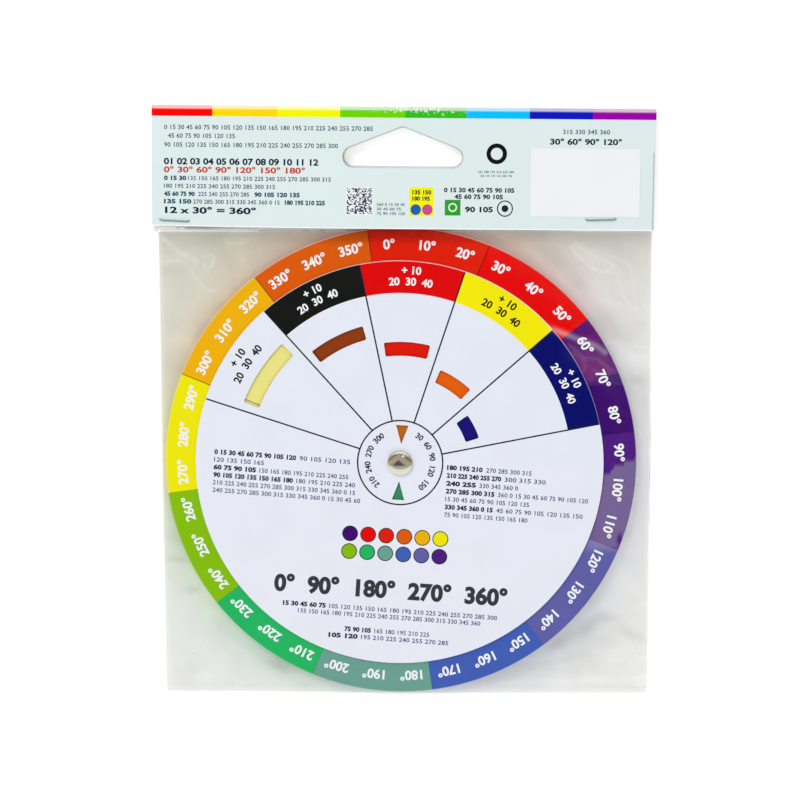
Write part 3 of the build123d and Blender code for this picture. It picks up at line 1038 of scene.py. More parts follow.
# Soft darker places: x, y, long and short radius, turn, share of the light that is lost. A share
# below 0 is a lighter place.
SHADES = [
    (-48.0, 66.3, 3.2, 1.4, 0, -0.05), (-53.5, 67.4, 4.0, 0.9, 0, 0.06), (-57.5, 65.5, 5.0, 1.2, 4, 0.05),
    (-46.3, 60.0, 1.4, 4.0, 12, -0.06), (-50.5, 59.5, 1.2, 3.6, 20, 0.04),
    (-67.5, 60.6, 3.6, 1.1, -8, -0.04), (-67.4, 57.4, 3.6, 1.2, 0, 0.05),
    (-66.4, 64.6, 1.7, 0.8, -35, 0.06), (-59.0, 39.0, 2.6, 2.0, 40, 0.06),
    (-54.0, 45.5, 3.0, 2.4, 45, 0.05), (-67.6, 42.0, 1.3, 3.0, 0, 0.03), (-66.4, 36.6, 3.6, 1.3, 8, -0.05),
    (-68.5, 27.0, 2.4, 4.6, 0, 0.03), (-62.0, 47.0, 4.0, 2.5, 60, -0.02), (-63.5, 52.0, 2.0, 4.0, 20, 0.02),
    (40.0, 67.4, 4.6, 1.0, -3, 0.05), (36.0, 65.8, 2.6, 0.8, -20, -0.03), (48.0, 67.3, 3.0, 0.8, 0, -0.03),
    (56.8, 60.4, 5.8, 1.7, -36, -0.06), (57.0, 52.0, 12.0, 2.6, -42, -0.05),
    (62.8, 52.4, 6.0, 1.1, -55, 0.05), (60.2, 42.8, 4.4, 2.5, -48, 0.09), (64.0, 38.9, 1.2, 1.4, 0, 0.05),
    (69.0, 30.6, 5.0, 2.9, -12, -0.13), (66.3, 33.4, 2.6, 1.6, -40, -0.06),
    (70.2, 24.6, 3.6, 1.5, -12, 0.09), (68.3, 21.4, 1.0, 2.4, 20, 0.05), (72.6, 45.0, 1.6, 12.0, 0, -0.03),
    (66.5, 47.0, 1.0, 6.5, 14, -0.03), (64.5, 63.5, 3.4, 1.2, -12, 0.05), (-68.0, -23.0, 2.8, 2.4, 0, 0.07),
    (-67.0, -29.8, 3.6, 1.1, -6, 0.09), (-61.6, -38.7, 1.9, 0.8, 14, 0.10),
    (-63.6, -39.9, 0.8, 0.7, 0, 0.08), (-53.0, -51.4, 4.2, 2.2, -46, 0.06),
    (-44.5, -57.4, 5.4, 1.8, -38, 0.05), (-36.6, -62.6, 5.0, 2.4, -24, 0.24),
    (-58.0, -66.3, 12.0, 1.3, 0, -0.03), (-70.0, -60.0, 0.9, 9.0, 0, -0.03),
    (-63.5, -63.5, 2.2, 1.2, 40, 0.02), (-66.0, -50.0, 2.4, 4.0, 0, -0.02),
    (-61.5, -36.5, 6.5, 1.6, -50, -0.05), (48.0, -55.4, 5.6, 1.8, 32, 0.13),
    (56.0, -50.4, 5.4, 2.3, 38, 0.15), (62.4, -47.6, 3.2, 1.2, 4, 0.08), (67.5, -52.0, 5.0, 1.4, -24, 0.08),
    (62.0, -54.0, 4.0, 1.3, -8, 0.03), (38.0, -63.3, 8.0, 1.7, 17, 0.13), (31.0, -66.8, 8.0, 1.1, 4, 0.06),
    (45.0, -62.6, 3.0, 1.0, -30, 0.03), (66.5, -21.6, 2.2, 1.9, 0, 0.10), (70.0, -27.0, 3.0, 1.9, 0, -0.03),
    (65.0, -37.0, 5.0, 1.8, 62, -0.03), (58.5, -41.8, 3.0, 2.0, 50, 0.05),
    (58.0, -66.8, 15.0, 1.0, 2, -0.05), (72.0, -67.0, 2.6, 3.2, 0, -0.05),
    (64.0, -57.6, 8.0, 1.1, 6, -0.04), (70.5, -44.6, 3.4, 1.6, 10, -0.03),
    (46.0, 60.2, 5.5, 2.6, -38, 0.15), (52.5, 54.0, 4.0, 2.4, -46, 0.12),
    (-66.5, 28.5, 3.0, 5.0, -20, 0.03), (-59.5, 46.0, 3.0, 5.0, -30, 0.03),
    (54.0, -58.0, 10.0, 5.0, 30, 0.09), (-62.5, 35.6, 2.6, 3.6, 40, -0.04),
]
# Where the loose film over the rim throws back the light.
GLARES = [
    (0.75, 1.5, [(44.4, 40.2), (50.0, 38.0), (54.0, 36.4), (58.2, 34.8), (60.6, 33.0)]),
    (0.4, 0.3, [(50.0, 33.0), (54.0, 31.5), (58.5, 31.0), (62.5, 27.6)]),
    (0.5, 0.25, [(53.4, 26.0), (55.0, 29.0), (53.6, 32.0), (50.0, 35.4)]),
    (0.6, 0.2, [(57.0, 27.6), (60.5, 26.4), (64.3, 27.4)]),
]
# Light beside the disc's edge: direction, spread in degrees, share.
RIM_LIGHT = [(345, 28, 0.52), (150, 14, 0.10), (212, 12, 0.16), (22, 16, 0.2)]
# Long soft waves of the free film: direction, length, width, height.
WAVES = [(35, 22, 7, 0.30), (-50, 26, 8, 0.28), (80, 18, 6, 0.18), (5, 20, 5, 0.14)]
print("creases:", len(CREASES), "folds:", len(FOLDS), "glares:", len(GLARES))

# %% [markdown]
# A crease is a ridge along a line, so its profile is a bell over the distance to that line.
# Between the sharp creases the film has long soft waves, made from stretched lattice noise.

# %% Creases
def along_lines(x, y, lines):
    """The greatest bell over the distance to a line, times its strength, of all the lines."""
    result = np.zeros_like(x)
    for width, strength, places in lines:
        places = np.array(places)
        nearest = np.full_like(x, 1e9)
        for start, span in zip(places[:-1], np.diff(places, axis=0)):
            share = np.clip(((x - start[0]) * span[0] + (y - start[1]) * span[1]) / (span @ span), 0, 1)
            gap = np.hypot(x - start[0] - share * span[0], y - start[1] - share * span[1])
            nearest = np.minimum(nearest, gap)
        result = np.maximum(result, strength * bell(nearest, width))
    return result


def waves(x, y, seed):
    """Long soft ridges: lattice noise stretched one way, turned, and sharpened at its middle."""
    total = np.zeros_like(x)
    for index, (turn, long, short, height) in enumerate(WAVES):
        along, over = turned_by(x, y, -turn)
        warp = 3.0 * soft_random(along, over, 17.0, seed + 40 + index)
        value = soft_random(along / long + 500, (over + warp) / short + 500, 1.0, seed + index)
        total += height * (1 - np.abs(2 * value - 1)) ** 3
    return total


# %% Film heights
def reach_from_wheel(x, y):
    """Distance from the wheel's centre, measured from the nearest place that it can shift to."""
    return np.hypot(x, y - np.clip(y, 0, TRAVEL))


def welded(x, y, z):
    """Draws a height to the seam's at the edges: held up beside the wheel, sagging away from it."""
    seam = SEAM_LOW + SEAM_RISE * np.exp(-np.clip(np.hypot(x, y) - 71.0, 0, None) / 14)
    mouth = eased(y, MOUTH_START, BAG_HIGH - MOUTH_START)
    z = z + (MOUTH_Z - z) * mouth
    edge_gap = np.minimum(np.minimum(x - BAG_LEFT, BAG_RIGHT - x), y - BAG_LOW)
    hold = np.exp(-np.clip(edge_gap, 0, None) / WELD_WIDTH)
    return seam * hold + z * (1 - hold)


def free_fall(reach, z, level):
    """Lets a height fall off to the free film's level beyond the disc's rim."""
    return level + (z - level) * np.exp(-np.clip(reach - DISC_REACH, 0, None) / FREE_FALL)


def front_height(x, y):
    """Over the dial, down to the disc's rim, then down to the free level and the weld, and never
    above the underside of the header's front panel."""
    reach = reach_from_wheel(x, y)
    z = OVER_DIAL + (OVER_RIM - OVER_DIAL) * eased(reach, DIAL_REACH, DISC_REACH - DIAL_REACH)
    z = free_fall(reach, z + (OVER_RIVET - OVER_DIAL) * bell(reach, 5.3), FREE_FRONT)
    looseness = eased(reach, 69, 8)
    z += waves(x, y, 11) * (0.10 + 0.9 * looseness) + 0.22 * along_lines(x, y, CREASES)
    z += eased(y, 67.7, 2.2) * eased(np.abs(x - 5), 40, 9)
    under = eased(y, 66.5, 4)
    down = FOLD_V + HEADER_Y - WHEEL_Y - y
    underside = front_rise(np.clip(down, 0, FRONT_LENGTH)) - BOARD - FILM_GAP
    z = np.where(under > 0, np.minimum(z, underside + 3 * (1 - under)), z)
    return welded(x, y, z)


def rear_height(x, y):
    """On the ground below the wheel, rising to the weld, and over the header's rear panel."""
    reach = reach_from_wheel(x, y)
    z = free_fall(reach, 0.04 + 1.15 * eased(reach, 46, 24), FREE_REAR)
    z += 0.5 * waves(x, y, 31) * eased(reach, 72, 8)
    return welded(x, y, np.maximum(z, 1.12 * eased(y, 57, 9)))


def uneven(stops, steps):
    """Places from the first stop to the last, with each stretch cut into steps of its own size."""
    rows = [
        np.linspace(low, high, max(2, round((high - low) / step) + 1))[:-1]
        for low, high, step in zip(stops[:-1], stops[1:], steps)
    ]
    return np.concatenate([*rows, [stops[-1]]])


def bag_grid():
    """Lines close together where the film is creased and wider apart over the dial. Each row
    spans the bag's width, drawn in where the corners are round."""
    x = uneven([BAG_LEFT, -44, 40, BAG_RIGHT], [0.5, 1.35, 0.5])
    y = uneven([BAG_LOW, -43, 22, 72, BAG_HIGH], [0.5, 1.3, 0.5, 1.2])
    into = np.clip(BAG_CORNER - (y - BAG_LOW), 0, None)
    inset = BAG_CORNER - np.sqrt(np.clip(BAG_CORNER ** 2 - into ** 2, 0, None))
    share = (x - BAG_LEFT) / (BAG_RIGHT - BAG_LEFT)
    x = (BAG_LEFT + inset)[:, None] + (BAG_RIGHT - BAG_LEFT - 2 * inset)[:, None] * share[None, :]
    return x, np.repeat(y[:, None], len(share), axis=1)


film_x, film_y = bag_grid()
front_z = front_height(film_x, film_y)
rear_z = rear_height(film_x, film_y)
clear = (front_z - rear_z)[1:-1, 1:-1].min()
print("grid", film_x.shape, "least gap between the panels", round(float(clear), 3), "mm")

# %% [markdown]
# Clear film is mostly not there: light passes straight through, a little dimmed, and only the
# surface shine and the creases show. So the shader mixes plain transparency with a thin mirror
# that grows at grazing angles, and with a trace of milkiness. How milky it is at each point, and
# what colour the light behind it has, are worked out here for every point and stored in the
# mesh. The milkiness also carries painted highlights along the creases and painted glare over the
# rim. The colour carries the film's dimming and painted light and shade: painted shade under
# folds, beside the header and next to the disc's rim, painted light beside the disc's edge, and
# painted coloured light that tints the film beside the printed rim.

# %% Film shades
def film_milk_and_glare(x, y):
    """Milkiness of the front panel with painted glare: painted highlights along the creases, painted
    glares over the rim, and thin clouds in the corners.
    """
    reach = np.hypot(x, y)
    glare = 0.15 * along_lines(x, y, GLARES) * (0.75 + 0.5 * soft_random(x, y, 2.6, 71))
    # Painted glare: a pale sheet below a wavy edge over the rim's right side, less in a notch, and a faint
    # one higher up.
    boundary = -3.0 + 0.55 * (x - 60.9) + 0.5 * np.sin(x * 1.7)
    lower = eased(boundary - y, 0, 0.35) * eased(y, -27.5, 2.5)
    notch = np.exp(-(((x - 65.3) / 0.9) ** 2 + ((y + 23.3) / 2.2) ** 2) ** 2)
    sheet = 0.125 * lower * (1 - notch) * eased(x, 50, 10)
    upper = 0.018 * eased(y, 23.0, 0.6) * eased(x, 46, 6) * eased(y, 37, -3)
    ring = eased(reach, 60.4, 0.3) * eased(reach, 70.1, -0.2)
    field = eased(reach, 50.6, 0.3) * (1 - ring) * eased(y, 26, 8)
    milk_and_glare = 0.22 * along_lines(x, y, CREASES) + (glare + sheet + upper) * ring
    milk_and_glare += 0.5 * (glare + upper) * field
    clouds = soft_random(x + 200, y + 200, 9.0, 5) * soft_random(x + 200, y + 200, 3.7, 6)
    outside = eased(reach, 70.3, 2)
    return milk_and_glare + outside * (0.02 + 0.10 * clouds * eased(y, -10, 60))


def soft_shades(x, y):
    """The sum of soft turned ellipses: share times exp(-squared distance in their radii)."""
    total = np.zeros_like(x)
    for middle_x, middle_y, long, short, turn, share in SHADES:
        along, over = turned_by(x - middle_x, y - middle_y, -turn)
        total += share * bell(along, long) * bell(over, short)
    return total


def rim_light(degrees):
    """Light that the rear panel gets beside the disc's edge: some all round, more in four places."""
    total = 0.06 + 0 * degrees
    for middle, width, share in RIM_LIGHT:
        total += share * bell((degrees - middle + 180) % 360 - 180, width)
    return total


def nearest_hue(degrees):
    """The rim's hue in a direction, blended half way from one sector's middle to the next."""
    place = ((degrees - FIRST_BOUNDARY) % 360) / 30
    hues = np.array(HUES)[:, :3]
    before, after = [hues[np.floor(place + half).astype(int) % 12] for half in (-0.5, 0.5)]
    share = smooth_step((place - 0.5) % 1)[..., None]
    return before * (1 - share) + after * share


def film_dimming_and_shade(x, y):
    """How much light the rear panel passes: its dimming, mottled, with painted shade that deepens
    towards the header and lies under folds, in soft darker places and along the sealed foot."""
    level = 0.662 * (1 - 0.155 * eased(y, -70, 135)) * (1 + 0.02 * x / 70)
    drift = 4.0 * soft_random(x + 300, y + 300, 11.0, 91)
    mottle = 0.6 * soft_random(x + 300 + drift, y + 300, 4.6, 92) - 0.5
    mottle += 0.4 * soft_random(x + 300, y + 300 + drift, 1.9, 93)
    level = level * (1 + 0.11 * mottle - 1.6 * soft_shades(x, y) - 0.15 * along_lines(x, y, FOLDS))
    seal = bell(y + 68.7, 0.3) * smooth_step(3 * soft_random(x + 300, y * 0, 9.0, 8) - 1)
    return level * (1 - 0.09 * seal)


def film_dimming_and_painted_light(x, y):
    """Colour that the rear panel passes: its tone, with painted shade that is dim and warm beside the
    header and yellower in the upper left, painted shade and painted coloured light in the nearest
    hue of the rim, less with every millimetre from it, and painted light beside the disc's edge.
    Behind the wheel, and where it is pressed flat on the header's rear panel, it is clear."""
    reach = np.hypot(x, y)
    degrees = np.degrees(np.arctan2(y, x)) % 360
    color = film_dimming_and_shade(x, y)[..., None] * (0.995, 1.005, 0.985)
    # Painted shade beside the header, deepest in the middle, then a warm painted tint near it and a
    # yellower one in the upper left.
    shade = np.minimum(np.exp(-(69 - y) / 5), 0.56)[..., None]
    middle = bell(x, 45)[..., None]
    color = color * np.exp(-shade * (np.array((0.33, 0.31, 0.18)) + middle * np.array((0.40, 0.62, 1.18))))
    warm = eased(y, 44, 22)[..., None]
    corner = (eased(y, 15, 30) * eased(x, -20, -30))[..., None]
    color = color * (1 - warm * (0.03, 0.045, 0.14)) * (1 - corner * (0.045, 0.035, 0.13))
    # Painted shade and painted coloured light next to the rim, in its nearest hue.
    rim = nearest_hue(degrees)
    away = np.clip(reach - DISC_RADIUS, 0, None)
    near = np.exp(-away / 5.2)[..., None]
    bright = 1 + (0.5 - 0.13 * x[..., None] / 70) * near * (rim - (rim @ (0.3, 0.5, 0.2))[..., None])
    color = color * (1 - 0.16 * near * (1 - rim)) * (1 - 0.18 * near) * bright
    # Painted light beside the disc's edge.
    beside = np.exp(-away / 1.8) * rim_light(degrees)
    clear = np.maximum(eased(y, 68.6, 0.4), eased(reach, 66.6, -2))[..., None]
    return np.sqrt(np.clip(color * (1 + beside[..., None]) * (1 - clear) + clear, 0, 1))


def film_gloss(x, y):
    """How much of its usual mirroring the front panel has: none where it is drawn tight over the
    rivet, half on the cards, and far more along the fold below the header."""
    reach = np.hypot(x, y)
    gloss = (1 - bell(reach, 6.5, 4)) * (0.5 + 0.5 * eased(reach, 68, 4))
    fold = bell(y - 69.05, 0.4, 4) * eased(np.abs(x - 5), 41, 8)
    return gloss + fold * (7 + 5 * eased(x, -48, -14) + 4 * eased(x, 54, 10))


def gap_shade(x, y):
    """What the front panel passes: less where the header stands off the film, in two dark wedges
    and a soft one over the wheel."""
    left = 0.62 * bell(y - 69.95, 0.32) * eased(x, -66, 3) * eased(x, -46, -12)
    right = 0.5 * bell(y - 69.45, 0.25) * eased(x, 51, 2) * eased(x, 64, -4)
    over = 0.36 * eased(y, 64.6, 2.4) * eased(np.hypot(x, y), 70.2, -0.6)
    return np.sqrt(1 - np.maximum(np.maximum(left, right), over))


milk_and_glare = film_milk_and_glare(film_x, film_y)
dimming_and_painted_light = film_dimming_and_painted_light(film_x, film_y)
print("milk up to", round(float(milk_and_glare.max()), 3), "stain from", round(float(dimming_and_painted_light.min()), 3))

# %% Film materials
MOST_MIRROR = 0.85

waves_group, given = new_group("film_waves", {"Place": "Vector"}, {"Height": "Float", "Cloud": "Float"})
broad = noise(given["Place"], 6.0, detail=4.0, roughness=0.55)
height = noise(given["Place"], 1.6, detail=2.0) * 0.12 + broad
cloud = spread(noise(given["Place"], 16.0, detail=4.0), 0.3, 0.75)
add_node("NodeGroupOutput", {"Height": height, "Cloud": cloud})


def stored(name, output):
    """What the mesh stores under a name."""
    return node("ShaderNodeAttribute", output=output, attribute_name=name)


def film_material(name, clearness, haze):
    """Clear film: what passes keeps its colour times clearness, and creases catch some light."""
    material, surface = new_surface(name)
    look = use_group(waves_group, Place=use_group(polar_group, Turned=0.0)["Place"])
    bent = relief(look["Height"], 0.3, 0.0008)
    tone = blend(1.0, clearness, stored("dimming_and_painted_light", "Color"), way="MULTIPLY")
    passing = node("ShaderNodeBsdfTransparent", {"Color": tone})
    milky = node("ShaderNodeBsdfDiffuse", {"Color": (0.94, 0.93, 0.92, 1.0)})
    share = reckon("MULTIPLY_ADD", look["Cloud"], haze, stored("milk_and_glare", "Fac"), clamp=True)
    body = node("ShaderNodeMixShader", {0: share, 1: passing, 2: milky})
    shine = node("ShaderNodeBsdfGlossy", {"Color": PLAIN_WHITE, "Roughness": 0.12, "Normal": bent})
    edge = node("ShaderNodeFresnel", {"IOR": 1.45, "Normal": bent})
    edge = reckon("MINIMUM", edge * 1.2, 0.8) * stored("gloss", "Fac")
    edge = reckon("MINIMUM", edge, MOST_MIRROR)
    whole = node("ShaderNodeMixShader", {0: edge, 1: body, 2: shine})
    lighting = either(ray("Is Shadow Ray"), ray("Is Diffuse Ray"))
    plug(node("ShaderNodeMixShader", {0: lighting, 1: whole, 2: passing}), surface)
    return material


front_film = film_material("front_film", (0.985, 0.985, 0.985, 1.0), 0.0)
rear_film = film_material("rear_film", (1.0, 1.0, 0.995, 1.0), 0.01)
print("film ready")

# %% Build the bag
def add_bag():
    """Front panel above, rear panel below, joined point for point along the foot, sides and mouth."""
    rows, columns = film_x.shape
    count, inner = rows * columns, (rows - 2) * (columns - 2)
    index = np.arange(count).reshape(rows, columns)
    rear_index = index.copy()
    rear_index[1:-1, 1:-1] = count + np.arange(inner).reshape(rows - 2, columns - 2)
    front = np.stack([film_x, film_y, front_z], axis=-1).reshape(-1, 3)
    rear = np.stack([film_x, film_y, rear_z], axis=-1)[1:-1, 1:-1].reshape(-1, 3)
    corners = [index[:-1, :-1], index[:-1, 1:], index[1:, 1:], index[1:, :-1]]
    upper = np.stack(corners, axis=-1).reshape(-1, 4)
    lower = rear_index.ravel()[upper][:, ::-1]
    piece = add_piece(
        "film_bag", np.concatenate([front, rear]) + (WHEEL_X, WHEEL_Y, 0), np.concatenate([upper, lower]),
        "package", "clear_film", (front_film, rear_film), ("bag_front_film", "bag_rear_film"), sharp=60.0,
    )
    mesh = piece.data
    mesh.polygons.foreach_set("material_index", np.repeat([0, 1], [len(upper), len(lower)]))
    shade = np.ones((count + inner, 4))
    shade[:count, :3] = gap_shade(film_x, film_y).reshape(-1, 1)
    shade[count:, :3] = dimming_and_painted_light[1:-1, 1:-1].reshape(-1, 3)
    gloss = film_gloss(film_x, film_y)
    for name, kind, field, values in (
        ("milk_and_glare", "FLOAT", "value", np.concatenate([milk_and_glare.ravel(), np.zeros(inner)])),
        ("gloss", "FLOAT", "value", np.concatenate([gloss.ravel(), np.ones(inner)])),
        ("dimming_and_painted_light", "FLOAT_COLOR", "color", shade.ravel()),
    ):
        mesh.attributes.new(name, kind, "POINT").data.foreach_set(field, values)


add_bag()

# %% [markdown]
# ## The rivet
#
# A polished nickel rivet holds the three cards: a domed head on the front and a flatter one on
# the back, with the post between them. Both are turned shapes, a profile carried round the axis.

# %% Turned pieces
def turned_piece(profile, sides=96):
    """Carries a profile of (radius, height) points round the wheel's axis. It starts and ends on
    the axis, where the ring of points closes to one."""
    angles = np.linspace(0, math.tau, sides, endpoint=False)
    inner = profile[1:-1]
    rings = np.stack([
        inner[:, :1] * np.cos(angles), inner[:, :1] * np.sin(angles), np.repeat(inner[:, 1:], sides, axis=1)
    ], axis=-1)
    points = np.concatenate([rings.reshape(-1, 3), [(0, 0, profile[0, 1])], [(0, 0, profile[-1, 1])]])
    here = np.arange(sides)
    after = np.roll(here, -1)
    last = (len(inner) - 1) * sides
    start = np.stack([np.full(sides, last + sides), after, here], axis=-1)
    end = np.stack([np.full(sides, last + sides + 1), last + here, last + after], axis=-1)
    faces = ring_walls(len(inner), sides).tolist() + start.tolist() + end.tolist()
    return points + (WHEEL_X, WHEEL_Y, 0), faces


def dome(radius, rim, height, bevel=0.12):
    """Half section of a domed head from its top to its rim: part of a circle, then a small bevel."""
    rise = height - rim
    crown = (radius ** 2 + rise ** 2) / (2 * rise)
    r = np.linspace(0, radius - bevel, 30)
    z = height - crown + np.sqrt(crown ** 2 - r ** 2)
    turn = np.linspace(0.35, 1.0, 5) * math.pi / 2
    corner = np.stack([radius - bevel + bevel * np.sin(turn), z[-1] - bevel + bevel * np.cos(turn)], axis=1)
    return np.concatenate([np.stack([r, z], axis=1), corner, [(radius, 0.05), (radius - 0.05, 0.0)]])


# %% Rivet sizes and nickel
HEAD_RADIUS, HEAD_RIM, HEAD_HEIGHT, HEAD_Z = 3.7, 0.70, 2.0, 3.05
FOOT_RADIUS, FOOT_RIM, FOOT_HEIGHT, FOOT_Z = 3.6, 0.25, 1.1, 0.25
SOCKET_RADIUS, SOCKET_TOP = 1.52, HEAD_Z + 1.0
POST_RADIUS, POST_TOP = 1.5, HEAD_Z + 0.9

head = dome(HEAD_RADIUS, HEAD_RIM, HEAD_HEIGHT) + (0, HEAD_Z)
head = np.concatenate([head, [(SOCKET_RADIUS, HEAD_Z), (SOCKET_RADIUS, SOCKET_TOP), (0, SOCKET_TOP)]])
foot = dome(FOOT_RADIUS, FOOT_RIM, FOOT_HEIGHT) * (1, -1) + (0, FOOT_Z + FOOT_HEIGHT)
foot = np.concatenate([foot, [(POST_RADIUS, FOOT_Z + FOOT_HEIGHT), (POST_RADIUS, POST_TOP), (0, POST_TOP)]])


def metal(name, tones, roughness, grain, bump, depth):
    """A metal with a fine grain, grain millimetres across, that runs between two tones and two
    values of roughness."""
    material, shader = new_material(name)
    marks = noise(use_group(polar_group, Turned=0.0)["Place"], grain, detail=4.0)
    fill(shader, {
        "Metallic": 1.0,
        "Base Color": blend(marks, *tones),
        "Roughness": spread(marks, 0.3, 0.7, *roughness),
        "Normal": relief(marks, bump, depth),
    })
    return material


nickel_tones = linear(222, 218, 208), linear(236, 233, 226)
nickel = metal("polished_nickel", nickel_tones, (0.10, 0.2), grain=0.9, bump=0.12, depth=0.0001)
points, faces = turned_piece(head)
add_piece("rivet_head", points, [f[::-1] for f in faces], "rivet", "rivet_metal", [nickel], ["rivet_cap"])
add_piece("rivet_foot", *turned_piece(foot), "rivet", "rivet_metal", [nickel], ["rivet_post"])

# %% [markdown]
# ## The staples
#
# Two wire staples go through card and film. Each is one round wire along a path: the crown lies
# on the card, the legs go down through it, and the ends are bent in below.

# %% Staples
WIRE = 0.22
CROWN = 9.3
CLINCH = 3.6
BEND = 0.55
STAPLES = {
    "staple_left": (-HEADER_WIDTH / 2 + 6.7, -HEADER_HALF + 1.55, -2.2),
    "staple_right": (HEADER_WIDTH / 2 - 15.6, -HEADER_HALF + 3.05, 1.9),
}


def rounded_path(corners, radius, steps=8):
    """A line through the corners with each inner corner rounded: a curve that leaves one side
    and joins the next, both touched at the radius's distance from the corner."""
    path = [corners[0]]
    for before, corner, after in zip(corners[:-2], corners[1:-1], corners[2:]):
        start = corner + (before - corner) / np.linalg.norm(before - corner) * radius
        end = corner + (after - corner) / np.linalg.norm(after - corner) * radius
        t = np.linspace(0, 1, steps)[:, None]
        path.extend((1 - t) ** 2 * start + 2 * t * (1 - t) * corner + t ** 2 * end)
    return np.array([*path, corners[-1]])


def wire_along(path, radius, sides=14):
    """A round wire: a ring of points square to the path at each of its points, ends closed."""
    ahead = np.gradient(path, axis=0)
    ahead /= np.linalg.norm(ahead, axis=1)[:, None]
    side = np.cross(ahead, (0.0, 1.0, 0.0))
    side /= np.linalg.norm(side, axis=1)[:, None]
    up = np.cross(side, ahead)
    angles = np.linspace(0, math.tau, sides, endpoint=False)[None, :, None]
    round_it = np.cos(angles) * side[:, None, :] + np.sin(angles) * up[:, None, :]
    points = path[:, None, :] + radius * round_it
    last = (len(path) - 1) * sides
    caps = [list(range(sides)), list(range(last, last + sides))[::-1]]
    walls = ring_walls(len(path), sides)[:, [0, 3, 2, 1]]
    return points.reshape(-1, 3), walls.tolist() + caps


def staple(u, v, turn):
    """The wire's points in the pack's directions, its crown sagging a little between the legs."""
    side = (CROWN - 2 * WIRE) / 2
    top = front_rise(FOLD_V - v) + WIRE + 0.03
    half = [(side, 0.15, top), (side, 0, WIRE), (side - CLINCH, 0, WIRE)]
    corners = np.array([(-x, y, z) for x, y, z in half[::-1]] + half)
    path = rounded_path(corners, BEND)
    sag = np.clip(1 - np.abs(path[:, 0]) / side, 0, 1)
    path[:, 1] -= np.where(path[:, 2] > top - 0.3, 0.35 * smooth_step(sag * 6), 0)
    points, faces = wire_along(path, WIRE)
    across, along = turned_by(points[:, 0], points[:, 1], turn)
    return np.stack([*header_to_pack(u + across, v + along), points[:, 2]], axis=1), faces


zinc_tones = linear(120, 152, 148), linear(190, 214, 210)
galvanised = metal("galvanised_wire", zinc_tones, (0.28, 0.42), grain=0.5, bump=0.2, depth=0.00005)
for name, place in STAPLES.items():
    add_piece(name + "_wire", *staple(*place), "package", "staple_wire", [galvanised], [name])

# %% [markdown]
# ## Numbers
#
# Plain numbers take the place of all the print: a scale of degrees round the disc's rim and the
# dial's hub, amounts in the five fields, quarter turns on the face, and rows that count on in
# steps where the cards have small print. Blender's own font is set, made a mesh and only then
# put in place. Along the rim it is bent round the wheel's centre.

# %% Number meshes
CAP_SHARE = 0.7
INK_DEPTH = 0.004
ABOVE = 0.006


def glyph_mesh(text, size, bold, steps=5):
    """Numbers as flat closed shapes: points and faces in millimetres, centred on the origin. A
    bevel widens the strokes by bold, and is then pressed almost flat."""
    curve = bpy.data.curves.new("glyphs", "FONT")
    curve.body = text
    curve.size = 1.0
    curve.resolution_u = steps
    curve.bevel_depth = bold
    curve.bevel_resolution = 0
    curve.align_x = "CENTER"
    curve.align_y = "CENTER"
    holder = bpy.data.objects.new("glyphs", curve)
    scene.collection.objects.link(holder)
    bpy.context.view_layer.update()
    mesh = bpy.data.meshes.new_from_object(holder.evaluated_get(bpy.context.evaluated_depsgraph_get()))
    points = np.zeros(len(mesh.vertices) * 3)
    mesh.vertices.foreach_get("co", points)
    points = points.reshape(-1, 3)
    low, high = points.min(axis=0), points.max(axis=0)
    points -= (low + high) / 2 * (1, 1, 0)
    points[:, :2] *= size / CAP_SHARE
    points[:, 2] = (points[:, 2] - low[2]) / (high[2] - low[2]) * INK_DEPTH
    bpy.data.objects.remove(holder)
    return points, [list(face.vertices) for face in mesh.polygons]


def print_piece(name, parts, body, slot, ink):
    """Several (points, faces) joined to one piece of ink."""
    points, faces, start = [], [], 0
    for some_points, some_faces in parts:
        points.append(some_points)
        faces += [[int(index) + start for index in face] for face in some_faces]
        start += len(some_points)
    add_piece(name, np.concatenate(points), faces, body, slot, [ink])


def placed(glyphs, turn, x, y, z):
    """Glyphs turned, moved and set on a surface of the wheel."""
    points, faces = glyphs
    across, up = turned_by(points[:, 0], points[:, 1], turn)
    return np.stack([across + x + WHEEL_X, up + y + WHEEL_Y, points[:, 2] + z], axis=1), faces


def bent_round(glyphs, radius, degrees, z):
    """Glyphs bent round the wheel's centre, tops outward: x becomes an angle, y a radius."""
    points, faces = glyphs
    angle = math.radians(degrees) - points[:, 0] / radius
    reach = radius + points[:, 1]
    x, y = reach * np.cos(angle) + WHEEL_X, reach * np.sin(angle) + WHEEL_Y
    return np.stack([x, y, points[:, 2] + z], axis=1), faces


def stretched(text, reach, size, bold, steps=5):
    """Glyphs stretched to the given length."""
    points, faces = glyph_mesh(text, size, bold, steps)
    points[:, 0] *= reach / np.ptp(points[:, 0])
    return points, faces


def counting(first, length, height):
    """Numbers that count on from first in steps of 15 and start again after 360, as many as fit."""
    numbers = [str((first + 15 * k) % 375) for k in range(60)]
    reach = 0.66 * height * np.cumsum([len(number) + 1 for number in numbers])
    return " ".join(numbers[:max(1, int((reach < length + height).sum()))])


def sloped_row(left, right, low, slope, height, first, bold):
    """A row of numbers on the front dial, its foot at low on its left end."""
    a = math.radians(slope)
    reach = (right - left) / math.cos(a)
    x = (left + right) / 2 - math.sin(a) * height / 2
    y = low + (right - left) / 2 * math.tan(a) + math.cos(a) * height / 2
    glyphs = stretched(counting(first, reach, height), reach, height, bold, 2)
    return placed(glyphs, slope, x, y, DIAL_TOP + ABOVE)


